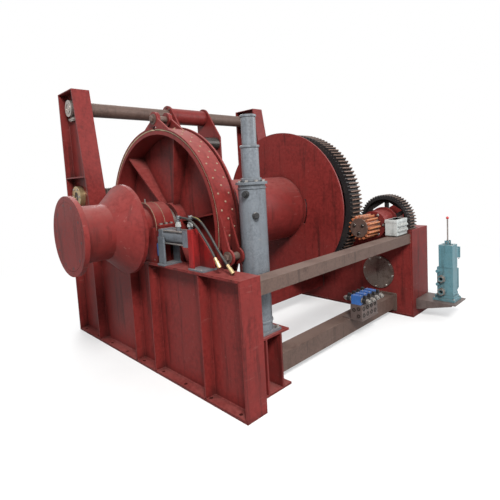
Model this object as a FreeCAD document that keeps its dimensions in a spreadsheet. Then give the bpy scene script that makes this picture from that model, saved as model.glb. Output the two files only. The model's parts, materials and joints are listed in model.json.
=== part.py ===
import FreeCAD
import Part

import math
import os

import Sketcher

Vector = FreeCAD.Vector
document = FreeCAD.newDocument("MooringWinch")

# ----------------------------------------------------------------------------------------
# Driving dimensions, in millimetres, degrees and counts.
# X runs along the drum shaft towards the gears, Y from the winch's front to its spooling
# posts, Z up.  The origin is on the ground under the drum shaft, midway across the left
# side frame.
# ----------------------------------------------------------------------------------------
SIZES = {
    "frames": {
        "frame_length": 3150,
        "frame_height": 1100,
        "frame_plate": 20,
        "foot_plate": 25,
        "web_plate": 16,
        "left_frame_width": 215,
        "right_frame_width": 456,
        "frame_distance": 2884,
        "shaft_setback": 1408,
        "shaft_rise": 330,
        "foot_bolt_radius": 16.5,
        "foot_bolt_pitch": 365,
        "foot_bolt_first": 115,
        "foot_bolt_count": 9,
        "left_bolt_gauge": 140,
        "right_bolt_gauge": 340,
        "top_slot_margin": 15,
        "web_boss_margin": 30,
    },
    "stiffeners": {
        "stiffener_plate": 16,
        "stiffener_one": 505,
        "stiffener_two": 1285,
        "stiffener_three": 1660,
        "stiffener_four": 2558,
    },
    "posts": {
        "post_rise": 1905,
        "post_top_depth": 430,
        "post_foot_depth": 740,
        "post_plate": 20,
        "post_cross_rise": 860,
        "post_cross_inset": 5,
        "spooling_inset": 190,
        "rod_drop": 190,
        "rod_radius": 87.5,
        "screw_rise": 633,
        "screw_radius": 95,
        "screw_journal_radius": 60,
        "screw_passage_wall": 30,
        "screw_shoulder_gap": 30,
        "screw_end_inset": 6,
        "end_boss_radius": 100,
        "screw_boss_radius": 130,
        "end_boss_length": 62,
        "keeper_width": 150,
        "keeper_height": 44,
        "keeper_plate": 30,
        "keeper_gap": 8,
    },
    "beams": {
        "upper_beam_setback": 20,
        "upper_beam_depth": 160,
        "upper_beam_height": 112,
        "upper_beam_drop": 53,
        "beam_wall": 10,
        "beam_corner": 14,
        "lower_beam_setback": 240,
        "lower_beam_depth": 165,
        "lower_beam_drop": 857,
        "lower_beam_level": 73,
        "end_plate_margin": 24,
        "middle_beam_setback": 1330,
        "middle_beam_depth": 150,
        "middle_beam_height": 180,
        "middle_beam_level": 205,
    },
    "shaft": {
        "shaft_radius": 120,
        "running_gap": 0.06,
        "collar_radius": 185,
        "collar_start": -70,
        "housing_radius": 232,
        "housing_start": 60,
        "housing_end": 262,
        "pedestal_half_width": 250,
        "right_housing_start": 90,
        "right_housing_length": 260,
        "right_pedestal_plate": 28,
        "left_pedestal_inset": 25.8,
        "shaft_overhang": 20,
    },
    "warping_head": {
        "head_outer_face": 660,
        "head_inner_face": 132,
        "head_barrel_radius": 252,
        "head_rim_radius": 348,
        "head_rim_width": 42,
        "head_flare_radius": 418,
        "head_flare_start": 345,
        "head_lip_width": 36,
        "head_wall": 24,
        "head_cover_radius": 300,
        "head_cover_plate": 14,
        "head_cover_gap": 2,
        "head_hub_wall": 45,
        "head_hub_inset": 90,
    },
    "drum": {
        "barrel_radius": 405,
        "barrel_wall": 30,
        "drum_flange_radius": 970,
        "drum_flange_plate": 20,
        "left_flange_face": 440,
        "right_flange_face": 2075,
        "drum_hub_radius": 205,
        "drum_hub_length": 100,
        "rope_slot_radius": 440,
        "rope_slot_width": 26,
        "rope_slot_start": 165,
        "rope_slot_angle": 42,
    },
    "brake": {
        "wheel_face": 226,
        "wheel_radius": 925,
        "wheel_rim": 36,
        "wheel_rib_plate": 14,
        "wheel_rib_count": 6,
        "wheel_rib_angle": 51.5,
        "rib_hub_depth": 66,
        "rib_rim_gap": 30,
        "brake_gap": 6,
        "lining_thickness": 10,
        "band_thickness": 15,
        "band_margin": 5,
        "band_drum_gap": 16,
        "band_pin_inset": 5,
        "live_end_angle": 193,
        "live_pin_reach": 1052,
        "live_lug_sweep": 17,
        "top_joint_angle": 92,
        "top_joint_gap": 4,
        "top_pin_reach": 1040,
        "top_lug_sweep": 13,
        "fixed_pin_reach": 1078,
        "fixed_pin_gap": 12,
        "fixed_lug_sweep": 16,
        "lug_end_gap": 2,
        "lug_bite": 2,
        "lug_inset": 10,
        "lug_side_gap": 2,
        "lug_barrel_gap": 6,
        "top_lug_turn": 1,
        "band_pin_radius": 34,
        "band_lug_plate": 18,
        "band_lug_radius": 70,
        "cylinder_offset": 484,
        "cylinder_setback": 308,
        "cylinder_radius": 117,
        "cylinder_top": 1810,
        "cylinder_flange_radius": 136,
        "cylinder_flange_plate": 22,
        "spring_tube_radius": 75,
        "spring_tube_top": 2095,
        "rod_tube_radius": 62,
        "rod_tube_top": 2365,
        "cylinder_base": 270,
        "cylinder_base_plate": 20,
        "stand_height": 515,
        "stand_width": 400,
        "stand_depth": 330,
        "stand_plate": 18,
        "stand_leg_inset": 100,
    },
    "gears": {
        "pressure_angle": 20,
        "root_depth": 1.25,
        "main_module": 16,
        "ring_teeth": 117,
        "ring_flank_steps": 1,
        "pinion_teeth": 16,
        "pinion_flank_steps": 3,
        "ring_face": 2320,
        "ring_width": 220,
        "ring_rim_radius": 850,
        "ring_web_plate": 60,
        "ring_hub_radius": 250,
        "ring_hub_length": 320,
        "ring_window_count": 8,
        "ring_window_inner": 330,
        "ring_window_outer": 790,
        "ring_window_margin": 62,
        "pinion_drop_angle": 13.5,
        "pinion_overhang": 15,
        "pinion_disc_radius": 112,
        "pinion_disc_plate": 14,
        "second_module": 12,
        "second_teeth": 56,
        "motor_teeth": 54,
        "second_flank_steps": 2,
        "second_gap": 15,
        "second_width": 175,
        "second_rim_radius": 292,
        "second_web_plate": 40,
        "second_hub_radius": 105,
        "second_window_count": 6,
        "second_window_inner": 130,
        "second_window_outer": 268,
        "second_window_margin": 26,
        "pinion_shaft_radius": 70,
        "pinion_housing_radius": 165,
        "pinion_housing_length": 250,
        "pinion_seat_wall": 40,
        "pinion_collar_wall": 25,
        "pinion_collar_gap": 8,
        "outer_quill_length": 50,
        "pinion_shaft_overhang": 60,
        "motor_angle": 276.8,
        "motor_shaft_radius": 62,
        "motor_shaft_overhang": 30,
        "motor_seat_radius": 120,
        "backlash": 2.4,
        "cover_radius": 212,
        "cover_plate": 20,
        "cover_dome": 16,
        "cover_dome_radius": 182.32,
        "cover_lip": 1,
        "motor_radius": 190,
        "motor_length": 330,
        "motor_flange_radius": 235,
        "motor_flange_plate": 28,
    },
    "carriage": {
        "carriage_start": 1450,
        "carriage_width": 680,
        "cheek_plate": 24,
        "cheek_top_radius": 145,
        "cheek_reach": 390,
        "cheek_shoulder_drop": 325,
        "cheek_foot_drop": 60,
        "cheek_back_share": 0.8,
        "cheek_top_share": 0.6,
        "cheek_far_share": 0.98,
        "nut_near_share": 0.4,
        "nut_low_share": 0.9,
        "nut_step": 10,
        "sleeve_radius": 116,
        "nut_radius": 140,
        "roller_radius": 70,
        "roller_spacing": 250,
        "roller_inset": 20,
        "roller_rise": 40,
        "roller_end_gap": 20,
        "top_roller_radius": 95,
        "top_roller_reach": 290,
        "top_roller_drop": 420,
    },
    "clutch": {
        "clutch_radius": 165,
        "clutch_start": 268,
        "clutch_gap": 6,
        "clutch_line": 92,
        "clutch_rise": 258,
        "clutch_near": 652,
        "clutch_length": 428,
        "clutch_barrel_radius": 62,
        "clutch_head_size": 140,
        "clutch_head_width": 60,
        "clutch_rod_radius": 18,
        "clutch_rod_reach": 70,
        "clutch_base_plate": 14,
        "fork_leg_plate": 16,
        "fork_leg_depth": 90,
        "fork_base_margin": 20,
        "lever_plate_thickness": 16,
        "lever_plate_depth": 48,
        "lever_plate_top": 50,
        "lever_plate_chamfer": 18,
        "stop_plate": 16,
        "stop_width": 116,
        "stop_rise": 325,
        "stop_lip_depth": 40,
        "stop_gusset_depth": 185,
        "stop_gusset_rise": 300,
        "stop_gusset_nose": 100,
        "stop_base_margin": 16,
    },
    "hoses": {
        "port_first": 45,
        "port_left": 28,
        "port_right": 12,
        "port_pitch": 120,
        "port_radius": 20,
        "port_neck": 40,
        "port_rise": 178,
        "elbow_radius": 15,
        "elbow_reach": 34,
        "hose_radius": 10,
        "hose_bend_share": 0.45,
        "hose_end_length": 88,
        "hose_end_radius": 17,
        "hose_end_neck_radius": 14,
        "hose_end_neck_length": 34,
    },
    "controls": {
        "box_gap": 14,
        "box_length": 270,
        "box_depth": 145,
        "box_height": 190,
        "box_foot": 14,
        "box_foot_inset": 20,
        "quill_clearance": 10,
        "manifold_start": 1822,
        "manifold_length": 335,
        "manifold_depth": 137,
        "manifold_height": 161,
        "manifold_shelf": 12,
        "manifold_shelf_margin": 7,
        "manifold_shelf_bearing": 90,
        "manifold_overhang": 11,
        "valve_block_width": 58,
        "valve_block_height": 98,
        "valve_block_inset": 12,
        "solenoid_radius": 27,
        "solenoid_length": 82,
        "valve_block_count": 4,
        "shelf_start": 2970,
        "shelf_width": 360,
        "shelf_reach": 460,
        "shelf_level": 215,
        "shelf_plate": 12,
        "gusset_depth": 118,
        "gusset_nose": 12,
        "gusset_inset": 40,
        "valve_offset": 25,
        "valve_inset": 40,
        "valve_base_width": 230,
        "valve_base_depth": 250,
        "valve_base_height": 30,
        "valve_plinth_height": 35,
        "valve_plinth_margin": 28,
        "body_width": 150,
        "body_depth": 184,
        "body_height": 345,
        "head_width": 160,
        "head_depth": 160,
        "head_height": 275,
        "arm_length": 150,
        "arm_depth": 100,
        "arm_height": 130,
        "arm_rise": 190,
        "arm_slope": 48,
        "arm_step": 10,
        "arm_flange_width": 22,
        "arm_flange_margin": 9,
        "side_case_length": 78,
        "side_case_inset": 14,
        "side_case_rise": 45,
        "side_case_height": 265,
        "valve_port_radius": 33,
        "valve_port_bore": 21,
        "valve_port_collar": 46,
        "valve_port_reach": 62,
        "valve_port_collar_width": 26,
        "valve_port_first": 50,
        "valve_port_pitch": 160,
        "valve_port_inset": 120,
        "valve_port_floor": 2,
        "plug_radius": 20,
        "plug_reach": 50,
        "plug_shift": 10,
        "lever_pivot_rise": 26,
        "lever_pin_radius": 8,
        "lever_pin_proud": 2,
        "lever_ear_plate": 12,
        "lever_ear_size": 48,
        "lever_ear_gap": 52,
        "lever_slot_width": 40,
        "lever_slot_depth": 30,
        "lever_slot_margin": 20,
        "lever_radius": 8,
        "lever_length": 300,
        "lever_boss_radius": 20,
        "lever_boss_width": 36,
        "knob_radius": 17,
    },
}


class Size:
    """A length that carries its formula in the sheet together with its present value."""

    def __init__(self, text, value):
        self.text = text
        self.value = float(value)

    @staticmethod
    def of(item):
        return item if isinstance(item, Size) else Size("({})".format(item), item)

    def joined(self, other, sign, value):
        return Size("({} {} {})".format(self.text, sign, Size.of(other).text), value)

    def __add__(self, other):
        return self.joined(other, "+", self.value + Size.of(other).value)

    def __sub__(self, other):
        return self.joined(other, "-", self.value - Size.of(other).value)

    def __mul__(self, other):
        return self.joined(other, "*", self.value * Size.of(other).value)

    def __truediv__(self, other):
        return self.joined(other, "/", self.value / Size.of(other).value)

    def __neg__(self):
        return Size("(0 - {})".format(self.text), -self.value)

    __radd__ = __add__

    def __rsub__(self, other):
        return Size.of(other) - self

    def __rtruediv__(self, other):
        return Size.of(other) / self

    __rmul__ = __mul__


def cosine(angle):
    """Cosine of an angle in degrees."""
    angle = Size.of(angle)
    return Size("cos({} * 1deg)".format(angle.text), math.cos(math.radians(angle.value)))


def sine(angle):
    """Sine of an angle in degrees."""
    angle = Size.of(angle)
    return Size("sin({} * 1deg)".format(angle.text), math.sin(math.radians(angle.value)))


def root(size):
    """Square root of an area."""
    return Size("sqrt({})".format(size.text), math.sqrt(size.value))


class Sheet:
    """The spreadsheet of driving dimensions; each one is read as an attribute."""

    def __init__(self, tables):
        sheet = document.addObject("Spreadsheet::Sheet", "Sizes")
        row = 1
        for title, entries in tables.items():
            sheet.set("A{}".format(row), title)
            row += 1
            for name, number in entries.items():
                sheet.set("A{}".format(row), name)
                sheet.set("B{}".format(row), str(number))
                sheet.setAlias("B{}".format(row), name)
                row += 1
        document.recompute()
        self.sheet = sheet

    def __getattr__(self, name):
        return Size("Sizes.{}".format(name), self.sheet.get(name))


S = Sheet(SIZES)

# Lines that everything is set out from.
LEFT = -S.left_frame_width / 2
FRONT = -S.shaft_setback
BACK = FRONT + S.frame_length
RIGHT = LEFT + S.frame_distance
OUTER = RIGHT + S.right_frame_width
SHAFT_HEIGHT = S.frame_height + S.shaft_rise
SHAFT = (Size.of(0), SHAFT_HEIGHT)
POST_TOP = S.frame_height + S.post_rise
SPOOLING = BACK - S.spooling_inset
ROD_LINE = (SPOOLING, POST_TOP - S.rod_drop)
SCREW_LINE = (SPOOLING, S.frame_height + S.screw_rise)
LEFT_WEB = (-S.web_plate / 2, S.web_plate / 2)
INNER_WEB = (RIGHT, RIGHT + S.web_plate)
OUTER_WEB = (OUTER - S.web_plate, OUTER)
FRAME_TOP = S.frame_height - S.frame_plate
LOWER_BEAM_TOP = S.frame_height - S.lower_beam_drop
UPPER_BEAM_TOP = S.frame_height - S.upper_beam_drop


# ----------------------------------------------------------------------------------------
# Ways of making shapes
# ----------------------------------------------------------------------------------------
PARTS = []
# How far a cutter runs past what it cuts, and how far a fused piece reaches into the next.
OVERRUN = 1
BITE = 5


def past(span):
    """A cutter's span, which runs a little past both planes."""
    return Size.of(span[0]) - OVERRUN, Size.of(span[1]) + OVERRUN


def bind(item, prop, size):
    """Drive one property of an object with a size."""
    item.setExpression(prop, Size.of(size).text)


def place(item, x, y, z):
    """Set an object's position with three sizes."""
    for axis, size in zip("xyz", (x, y, z)):
        bind(item, "Placement.Base." + axis, size)


def name_part(item, label):
    """Give a finished sub-part its node's name and put it on the list to be written."""
    item.Label = label
    PARTS.append(item)
    return item


def block(x, y, z, name="Block"):
    """A box between pairs of planes."""
    item = document.addObject("Part::Box", name)
    for prop, (low, high) in zip(("Length", "Width", "Height"), (x, y, z)):
        bind(item, prop, Size.of(high) - low)
    place(item, x[0], y[0], z[0])
    return item


AXIS_TURN = {
    "x": FreeCAD.Rotation(Vector(0, 1, 0), 90),
    "y": FreeCAD.Rotation(Vector(1, 0, 0), -90),
    "z": FreeCAD.Rotation(),
}


def rod(axis, radius, span, across, name="Rod"):
    """A cylinder along one axis, between two planes, with its line at the two other sizes."""
    item = document.addObject("Part::Cylinder", name)
    item.Placement = FreeCAD.Placement(Vector(), AXIS_TURN[axis])
    bind(item, "Radius", radius)
    bind(item, "Height", Size.of(span[1]) - span[0])
    first, second = across
    spots = {"x": (span[0], first, second), "y": (first, span[0], second), "z": (first, second, span[0])}
    place(item, *spots[axis])
    return item


def cut(base, *tools):
    """The base less every tool."""
    item = document.addObject("Part::Cut", "Cut")
    item.Base = base
    item.Tool = tools[0] if len(tools) == 1 else group(*tools)
    return item


def fuse(*pieces):
    """Pieces welded or cast together as one solid."""
    item = document.addObject("Part::MultiFuse", "Fuse")
    item.Shapes = list(pieces)
    item.Refine = True
    return item


def group(*pieces):
    """Like pieces that don't touch, kept as separate solids."""
    item = document.addObject("Part::Compound", "Group")
    item.Links = list(pieces)
    return item


def tube(axis, outer, inner, span, across):
    """A hollow cylinder."""
    return cut(rod(axis, outer, span, across), rod(axis, inner, span, across))


def plane_of(body, role):
    """One of a body's own origin planes, found by its role."""
    return next(item for item in body.Origin.OriginFeatures if item.Role == role)


def outline_sketch(body, role, outline, offset=0):
    """A closed sketch through points whose two coordinates are sizes."""
    sketch = body.newObject("Sketcher::SketchObject", "Outline")
    sketch.AttachmentSupport = [(plane_of(body, role), "")]
    sketch.MapMode = "FlatFace"
    bind(sketch, "AttachmentOffset.Base.z", offset)
    points = [(Size.of(a), Size.of(b)) for a, b in outline]
    corners = [Vector(a.value, b.value, 0) for a, b in points]
    for start, end in zip(corners, corners[1:] + corners[:1]):
        sketch.addGeometry(Part.LineSegment(start, end))
    count = len(points)
    for index in range(count):
        sketch.addConstraint(Sketcher.Constraint("Coincident", index, 2, (index + 1) % count, 1))
    for index, (a, b) in enumerate(points):
        for kind, size in (("DistanceX", a), ("DistanceY", b)):
            number = sketch.addConstraint(Sketcher.Constraint(kind, -1, 1, index, 1, size.value))
            sketch.setExpression("Constraints[{}]".format(number), size.text)
    return sketch


def new_body(name):
    """An empty PartDesign body."""
    return document.addObject("PartDesign::Body", name)


def padded(role, outline, span, name="Plate"):
    """A flat outline given a thickness, from one plane to another along its normal."""
    body = new_body(name)
    flip = role == "XZ_Plane"
    start = -span[1] if flip else span[0]
    sketch = outline_sketch(body, role, outline, start)
    pad = body.newObject("PartDesign::Pad", "Pad")
    pad.Profile = sketch
    bind(pad, "Length", Size.of(span[1]) - span[0])
    body.Tip = pad
    return body


def turned(outline, centre, name="Turned"):
    """A solid turned about a line along X; outline points are (station, radius)."""
    body = new_body(name)
    sketch = outline_sketch(body, "XY_Plane", outline)
    turn = body.newObject("PartDesign::Revolution", "Turn")
    turn.Profile = sketch
    turn.ReferenceAxis = (sketch, ["H_Axis"])
    turn.Angle = 360
    body.Tip = turn
    place(body, 0, centre[0], centre[1])
    return body


def arc_sector(radius_in, radius_out, span, start, sweep):
    """Part of a ring about the drum shaft, from one angle through a sweep, seen from -X."""
    item = document.addObject("Part::Cut", "Sector")
    outer = document.addObject("Part::Cylinder", "SectorOuter")
    inner = document.addObject("Part::Cylinder", "SectorInner")
    for ring, radius in ((outer, radius_out), (inner, radius_in)):
        bind(ring, "Radius", radius)
        bind(ring, "Height", Size.of(span[1]) - span[0])
    bind(outer, "Angle", sweep)
    outer.Placement = FreeCAD.Placement(Vector(), FreeCAD.Rotation(Vector(0, 0, 1), Size.of(start).value))
    bind(outer, "Placement.Rotation.Angle", start)
    item.Base = outer
    item.Tool = inner
    # The cylinder's own X axis is turned onto +Y and its height onto +X.
    upright = FreeCAD.Rotation(Vector(0, 1, 0), Vector(0, 0, 1), Vector(1, 0, 0), "ZXY")
    item.Placement = FreeCAD.Placement(Vector(), upright)
    place(item, span[0], SHAFT[0], SHAFT[1])
    return item


def spot(angle, reach, centre=SHAFT):
    """The (y, z) place at an angle and a distance from a line along X."""
    return centre[0] + cosine(angle) * reach, centre[1] + sine(angle) * reach


# ----------------------------------------------------------------------------------------
# Side frames
# ----------------------------------------------------------------------------------------
def foot_holes(middle, gauge):
    """Two rows of foundation bolt holes through a base flange."""
    holes = []
    for side in (-1, 1):
        for number in range(int(S.foot_bolt_count.value)):
            y = FRONT + S.foot_bolt_first + S.foot_bolt_pitch * number
            x = middle + gauge / 2 * side
            holes.append(rod("z", S.foot_bolt_radius, past((0, S.foot_plate)), (x, y), "BoltHole"))
    return holes


def left_frame():
    """An I-section side frame: web, two flanges, end plates and stiffeners."""
    web_z = (S.foot_plate, FRAME_TOP)
    inner_y = (FRONT + S.frame_plate, BACK - S.frame_plate)
    web = block(LEFT_WEB, inner_y, web_z)
    name_part(web, "left_web")
    wide = (LEFT, -LEFT)
    foot = cut(block(wide, (FRONT, BACK), (0, S.foot_plate)), *foot_holes(Size.of(0), S.left_bolt_gauge))
    top = block(wide, (FRONT, BACK), (FRAME_TOP, S.frame_height))
    name_part(group(foot, top), "left_flanges")
    plates = [
        block(wide, (FRONT, FRONT + S.frame_plate), web_z),
        block(wide, (BACK - S.frame_plate, BACK), web_z),
    ]
    for setback in (S.stiffener_one, S.stiffener_two, S.stiffener_three, S.stiffener_four):
        y = FRONT + setback
        for x in ((LEFT, LEFT_WEB[0]), (LEFT_WEB[1], -LEFT)):
            plates.append(block(x, (y - S.stiffener_plate / 2, y + S.stiffener_plate / 2), web_z))
    name_part(group(*plates), "left_stiffeners")


def web_with_boss(span, label, holes):
    """A web of the gear frame, raised around the pinion shaft, with holes for what it carries."""
    plate = block(span, (FRONT + S.frame_plate, BACK - S.frame_plate), (S.foot_plate, FRAME_TOP))
    boss = rod("x", WEB_BOSS, span, PINION_AXIS)
    tools = [rod("x", radius, past(span), centre) for radius, centre in holes]
    name_part(cut(fuse(plate, boss), *tools), label)


PITCH_DISTANCE = S.main_module * (S.ring_teeth + S.pinion_teeth) / 2
PINION_AXIS = (-cosine(S.pinion_drop_angle) * PITCH_DISTANCE,
               SHAFT_HEIGHT - sine(S.pinion_drop_angle) * PITCH_DISTANCE)
MOTOR_DISTANCE = S.second_module * (S.second_teeth + S.motor_teeth) / 2
MOTOR_AXIS = spot(S.motor_angle, MOTOR_DISTANCE, PINION_AXIS)
SECOND_GEAR = (INNER_WEB[1] + S.second_gap, INNER_WEB[1] + S.second_gap + S.second_width)
WEB_BOSS = S.pinion_housing_radius + S.web_boss_margin
PINION_SEAT = S.pinion_shaft_radius + S.pinion_seat_wall


def right_frame():
    """The gear frame: a box of two webs with an open slot in its top for the second gear."""
    seats = ((PINION_SEAT, PINION_AXIS), (S.motor_seat_radius, MOTOR_AXIS))
    web_with_boss(INNER_WEB, "right_inner_web", seats)
    web_with_boss(OUTER_WEB, "right_outer_web", seats)
    wide = (RIGHT, OUTER)
    middle = RIGHT + S.right_frame_width / 2
    foot = cut(block(wide, (FRONT, BACK), (0, S.foot_plate)), *foot_holes(middle, S.right_bolt_gauge))
    tip = S.second_module * (S.second_teeth + 2) / 2
    margin = S.top_slot_margin
    slot = block((INNER_WEB[1], SECOND_GEAR[1] + margin),
                 (FRONT + S.frame_plate, PINION_AXIS[0] + tip + margin), past((FRAME_TOP, S.frame_height)))
    boss_seat = [rod("x", WEB_BOSS, span, PINION_AXIS) for span in (INNER_WEB, OUTER_WEB)]
    top = cut(block(wide, (FRONT, BACK), (FRAME_TOP, S.frame_height)), slot, *boss_seat)
    name_part(group(foot, top), "right_flanges")
    ends = []
    for y in ((FRONT, FRONT + S.frame_plate), (BACK - S.frame_plate, BACK)):
        ends.append(block(wide, y, (S.foot_plate, FRAME_TOP)))
    name_part(group(*ends), "right_end_plates")


def post(left, label):
    """A tapered H-section post with a cap, cross plates and bosses for rod and screw."""
    right = left + S.left_frame_width
    middle = left + S.left_frame_width / 2
    web_x = (middle - S.web_plate / 2, middle + S.web_plate / 2)
    top = POST_TOP
    foot = S.frame_height
    near_top = BACK - S.post_top_depth
    near_foot = BACK - S.post_foot_depth
    web = padded("YZ_Plane", [(near_foot, foot), (BACK, foot), (BACK, top), (near_top, top)], web_x)
    near = padded("YZ_Plane", [(near_foot, foot), (near_foot + S.post_plate, foot),
                               (near_top + S.post_plate, top), (near_top, top)], (left, right))
    far = block((left, right), (BACK - S.post_plate, BACK), (foot, top))
    cap = block((left, right), (near_top, BACK), (top - S.post_plate / 2, top))
    lean = (near_top - near_foot) / (top - foot)
    cross_near = near_foot + lean * S.post_cross_rise
    cross = block((left, right), (cross_near + S.post_cross_inset, BACK - S.post_cross_inset),
                  (foot + S.post_cross_rise, foot + S.post_cross_rise + S.web_plate))
    body = fuse(web, near, far, cap, cross)
    through = past((left, right))
    return name_part(cut(body, rod("x", S.rod_radius, through, ROD_LINE),
                         rod("x", S.screw_journal_radius + S.screw_passage_wall, through, SCREW_LINE)), label)


RIGHT_POST = RIGHT + (S.right_frame_width - S.left_frame_width) / 2
LEFT_POST_MIDDLE = LEFT + S.left_frame_width / 2
RIGHT_POST_MIDDLE = RIGHT_POST + S.left_frame_width / 2


def spooling_rods():
    """The fixed guide rod, its end discs, the screw and the screw's end bearings."""
    half = S.web_plate / 2
    outer_left = LEFT_POST_MIDDLE - half - S.end_boss_length
    outer_right = RIGHT_POST_MIDDLE + half + S.end_boss_length
    rod_x = (LEFT_POST_MIDDLE - half, RIGHT_POST_MIDDLE + half)
    name_part(rod("x", S.rod_radius, rod_x, ROD_LINE), "top_guide_rod")
    left_side = (outer_left, LEFT_POST_MIDDLE - half)
    right_side = (RIGHT_POST_MIDDLE + half, outer_right)
    discs = []
    for side in (left_side, right_side):
        discs.append(rod("x", S.end_boss_radius, side, ROD_LINE))
    keeper_top = ROD_LINE[1] - S.end_boss_radius - S.keeper_gap
    keeper_y = (SPOOLING - S.keeper_width / 2, SPOOLING + S.keeper_width / 2)
    plate = S.keeper_plate
    for keeper_x in ((left_side[1] - plate, left_side[1]), (right_side[0], right_side[0] + plate)):
        discs.append(block(keeper_x, keeper_y, (keeper_top - S.keeper_height, keeper_top)))
    name_part(group(*discs), "guide_rod_end_discs")
    bearings = []
    for side in (left_side, right_side):
        flange = rod("x", S.screw_boss_radius, side, SCREW_LINE)
        bearings.append(cut(flange, rod("x", S.screw_journal_radius + S.running_gap, past(side), SCREW_LINE)))
    name_part(group(*bearings), "screw_end_bearings")
    gap = half + S.screw_shoulder_gap
    thick = rod("x", S.screw_radius, (LEFT_POST_MIDDLE + gap, RIGHT_POST_MIDDLE - gap), SCREW_LINE)
    inset = S.screw_end_inset
    journal = rod("x", S.screw_journal_radius, (outer_left + inset, outer_right - inset), SCREW_LINE)
    name_part(fuse(thick, journal), "lead_screw")


# ----------------------------------------------------------------------------------------
# Cross beams
# ----------------------------------------------------------------------------------------
def hollow_beam(x, setback, depth, level, height):
    """A rectangular hollow section along X."""
    wall = S.beam_wall
    y = (FRONT + setback, FRONT + setback + depth)
    z = (level, level + height)
    hole = block(past(x), (y[0] + wall, y[1] - wall), (z[0] + wall, z[1] - wall))
    return cut(block(x, y, z), hole)


def cross_beams():
    """The two front beams and the one under the drum."""
    gap = (LEFT_WEB[1], RIGHT)
    name_part(hollow_beam((-LEFT, RIGHT), S.upper_beam_setback, S.upper_beam_depth,
                          UPPER_BEAM_TOP - S.upper_beam_height, S.upper_beam_height), "upper_crossbeam")
    plate = (RIGHT - S.frame_plate, RIGHT)
    margin = S.end_plate_margin
    y = (FRONT + S.lower_beam_setback - margin, FRONT + S.lower_beam_setback + S.lower_beam_depth + margin)
    z = (S.lower_beam_level - margin, LOWER_BEAM_TOP + margin)
    beam = hollow_beam((STAND_X[1] - S.stand_leg_inset, plate[0]), S.lower_beam_setback, S.lower_beam_depth,
                       S.lower_beam_level, LOWER_BEAM_TOP - S.lower_beam_level)
    name_part(fuse(beam, block(plate, y, z)), "lower_crossbeam")
    name_part(hollow_beam(gap, S.middle_beam_setback, S.middle_beam_depth,
                          S.middle_beam_level, S.middle_beam_height), "middle_crossbeam")


# ----------------------------------------------------------------------------------------
# Main shaft with its bearings, warping head and clutch
# ----------------------------------------------------------------------------------------
HEAD_OUTER = LEFT - S.head_outer_face
HEAD_INNER = LEFT - S.head_inner_face
RIGHT_HOUSING = (RIGHT + S.right_housing_start, RIGHT + S.right_housing_start + S.right_housing_length)


def main_bearings():
    """Two plummer blocks on the frame tops, bored for the shaft."""
    bore = S.shaft_radius + S.running_gap
    body_x = (LEFT + S.housing_start, LEFT + S.housing_end)
    low = (LEFT + S.left_pedestal_inset, -LEFT - S.left_pedestal_inset)
    foot = block(low, (-S.pedestal_half_width, S.pedestal_half_width),
                 (S.frame_height, S.frame_height + S.right_pedestal_plate))
    outline = [(-S.pedestal_half_width, S.frame_height), (S.pedestal_half_width, S.frame_height),
               (S.housing_radius, SHAFT_HEIGHT), (-S.housing_radius, SHAFT_HEIGHT)]
    neck = padded("YZ_Plane", outline, low)
    collar = rod("x", S.collar_radius, (LEFT + S.collar_start, body_x[0] + BITE), SHAFT)
    housing = rod("x", S.housing_radius, body_x, SHAFT)
    solid = fuse(foot, neck, collar, housing)
    through = rod("x", bore, past((LEFT + S.collar_start, body_x[1])), SHAFT)
    name_part(cut(solid, through), "left_main_bearing")

    foot_y = (-S.pedestal_half_width, S.pedestal_half_width)
    foot = block(RIGHT_HOUSING, foot_y, (S.frame_height, S.frame_height + S.right_pedestal_plate))
    neck = padded("YZ_Plane", outline, RIGHT_HOUSING)
    housing = rod("x", S.housing_radius, RIGHT_HOUSING, SHAFT)
    through = rod("x", bore, past(RIGHT_HOUSING), SHAFT)
    name_part(cut(fuse(foot, neck, housing), through), "right_main_bearing")


def main_shaft():
    """The drum shaft, from inside the warping head to past the right bearing."""
    span = (HEAD_OUTER + S.head_cover_plate + S.head_wall, RIGHT_HOUSING[1] + S.shaft_overhang)
    name_part(rod("x", S.shaft_radius, span, SHAFT), "main_shaft")
    clutch = (LEFT + S.clutch_start, LEFT + S.left_flange_face - S.drum_hub_length - S.clutch_gap)
    name_part(tube("x", S.clutch_radius, S.shaft_radius, clutch, SHAFT), "clutch_hub")


def warping_head():
    """A hollow turned head: outer rim, straight barrel and a flared inner rim."""
    a = HEAD_OUTER
    b = HEAD_INNER
    wall = S.head_wall
    flare = LEFT - S.head_flare_start
    barrel = S.head_barrel_radius
    hub = S.shaft_radius + S.head_hub_wall
    outline = [
        (a + S.head_cover_plate, S.shaft_radius), (a + S.head_cover_plate, S.head_cover_radius),
        (a, S.head_cover_radius), (a, S.head_rim_radius), (a + S.head_rim_width, S.head_rim_radius),
        (a + S.head_rim_width, barrel), (flare, barrel), (b - S.head_lip_width, S.head_flare_radius),
        (b, S.head_flare_radius), (b, S.head_flare_radius - wall), (flare + wall, barrel - wall),
        (a + S.head_cover_plate + wall * 2, barrel - wall), (a + S.head_cover_plate + wall * 2, hub),
        (b - S.head_hub_inset, hub), (b - S.head_hub_inset, S.shaft_radius),
    ]
    name_part(turned(outline, SHAFT), "warping_head")
    cover = rod("x", S.head_cover_radius - S.head_cover_gap, (a, a + S.head_cover_plate), SHAFT)
    name_part(cover, "warping_head_cover")


# ----------------------------------------------------------------------------------------
# Drum with its brake wheel
# ----------------------------------------------------------------------------------------
DRUM_LEFT = LEFT + S.left_flange_face
DRUM_RIGHT = LEFT + S.right_flange_face
WHEEL = (LEFT + S.wheel_face, DRUM_LEFT)


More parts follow.
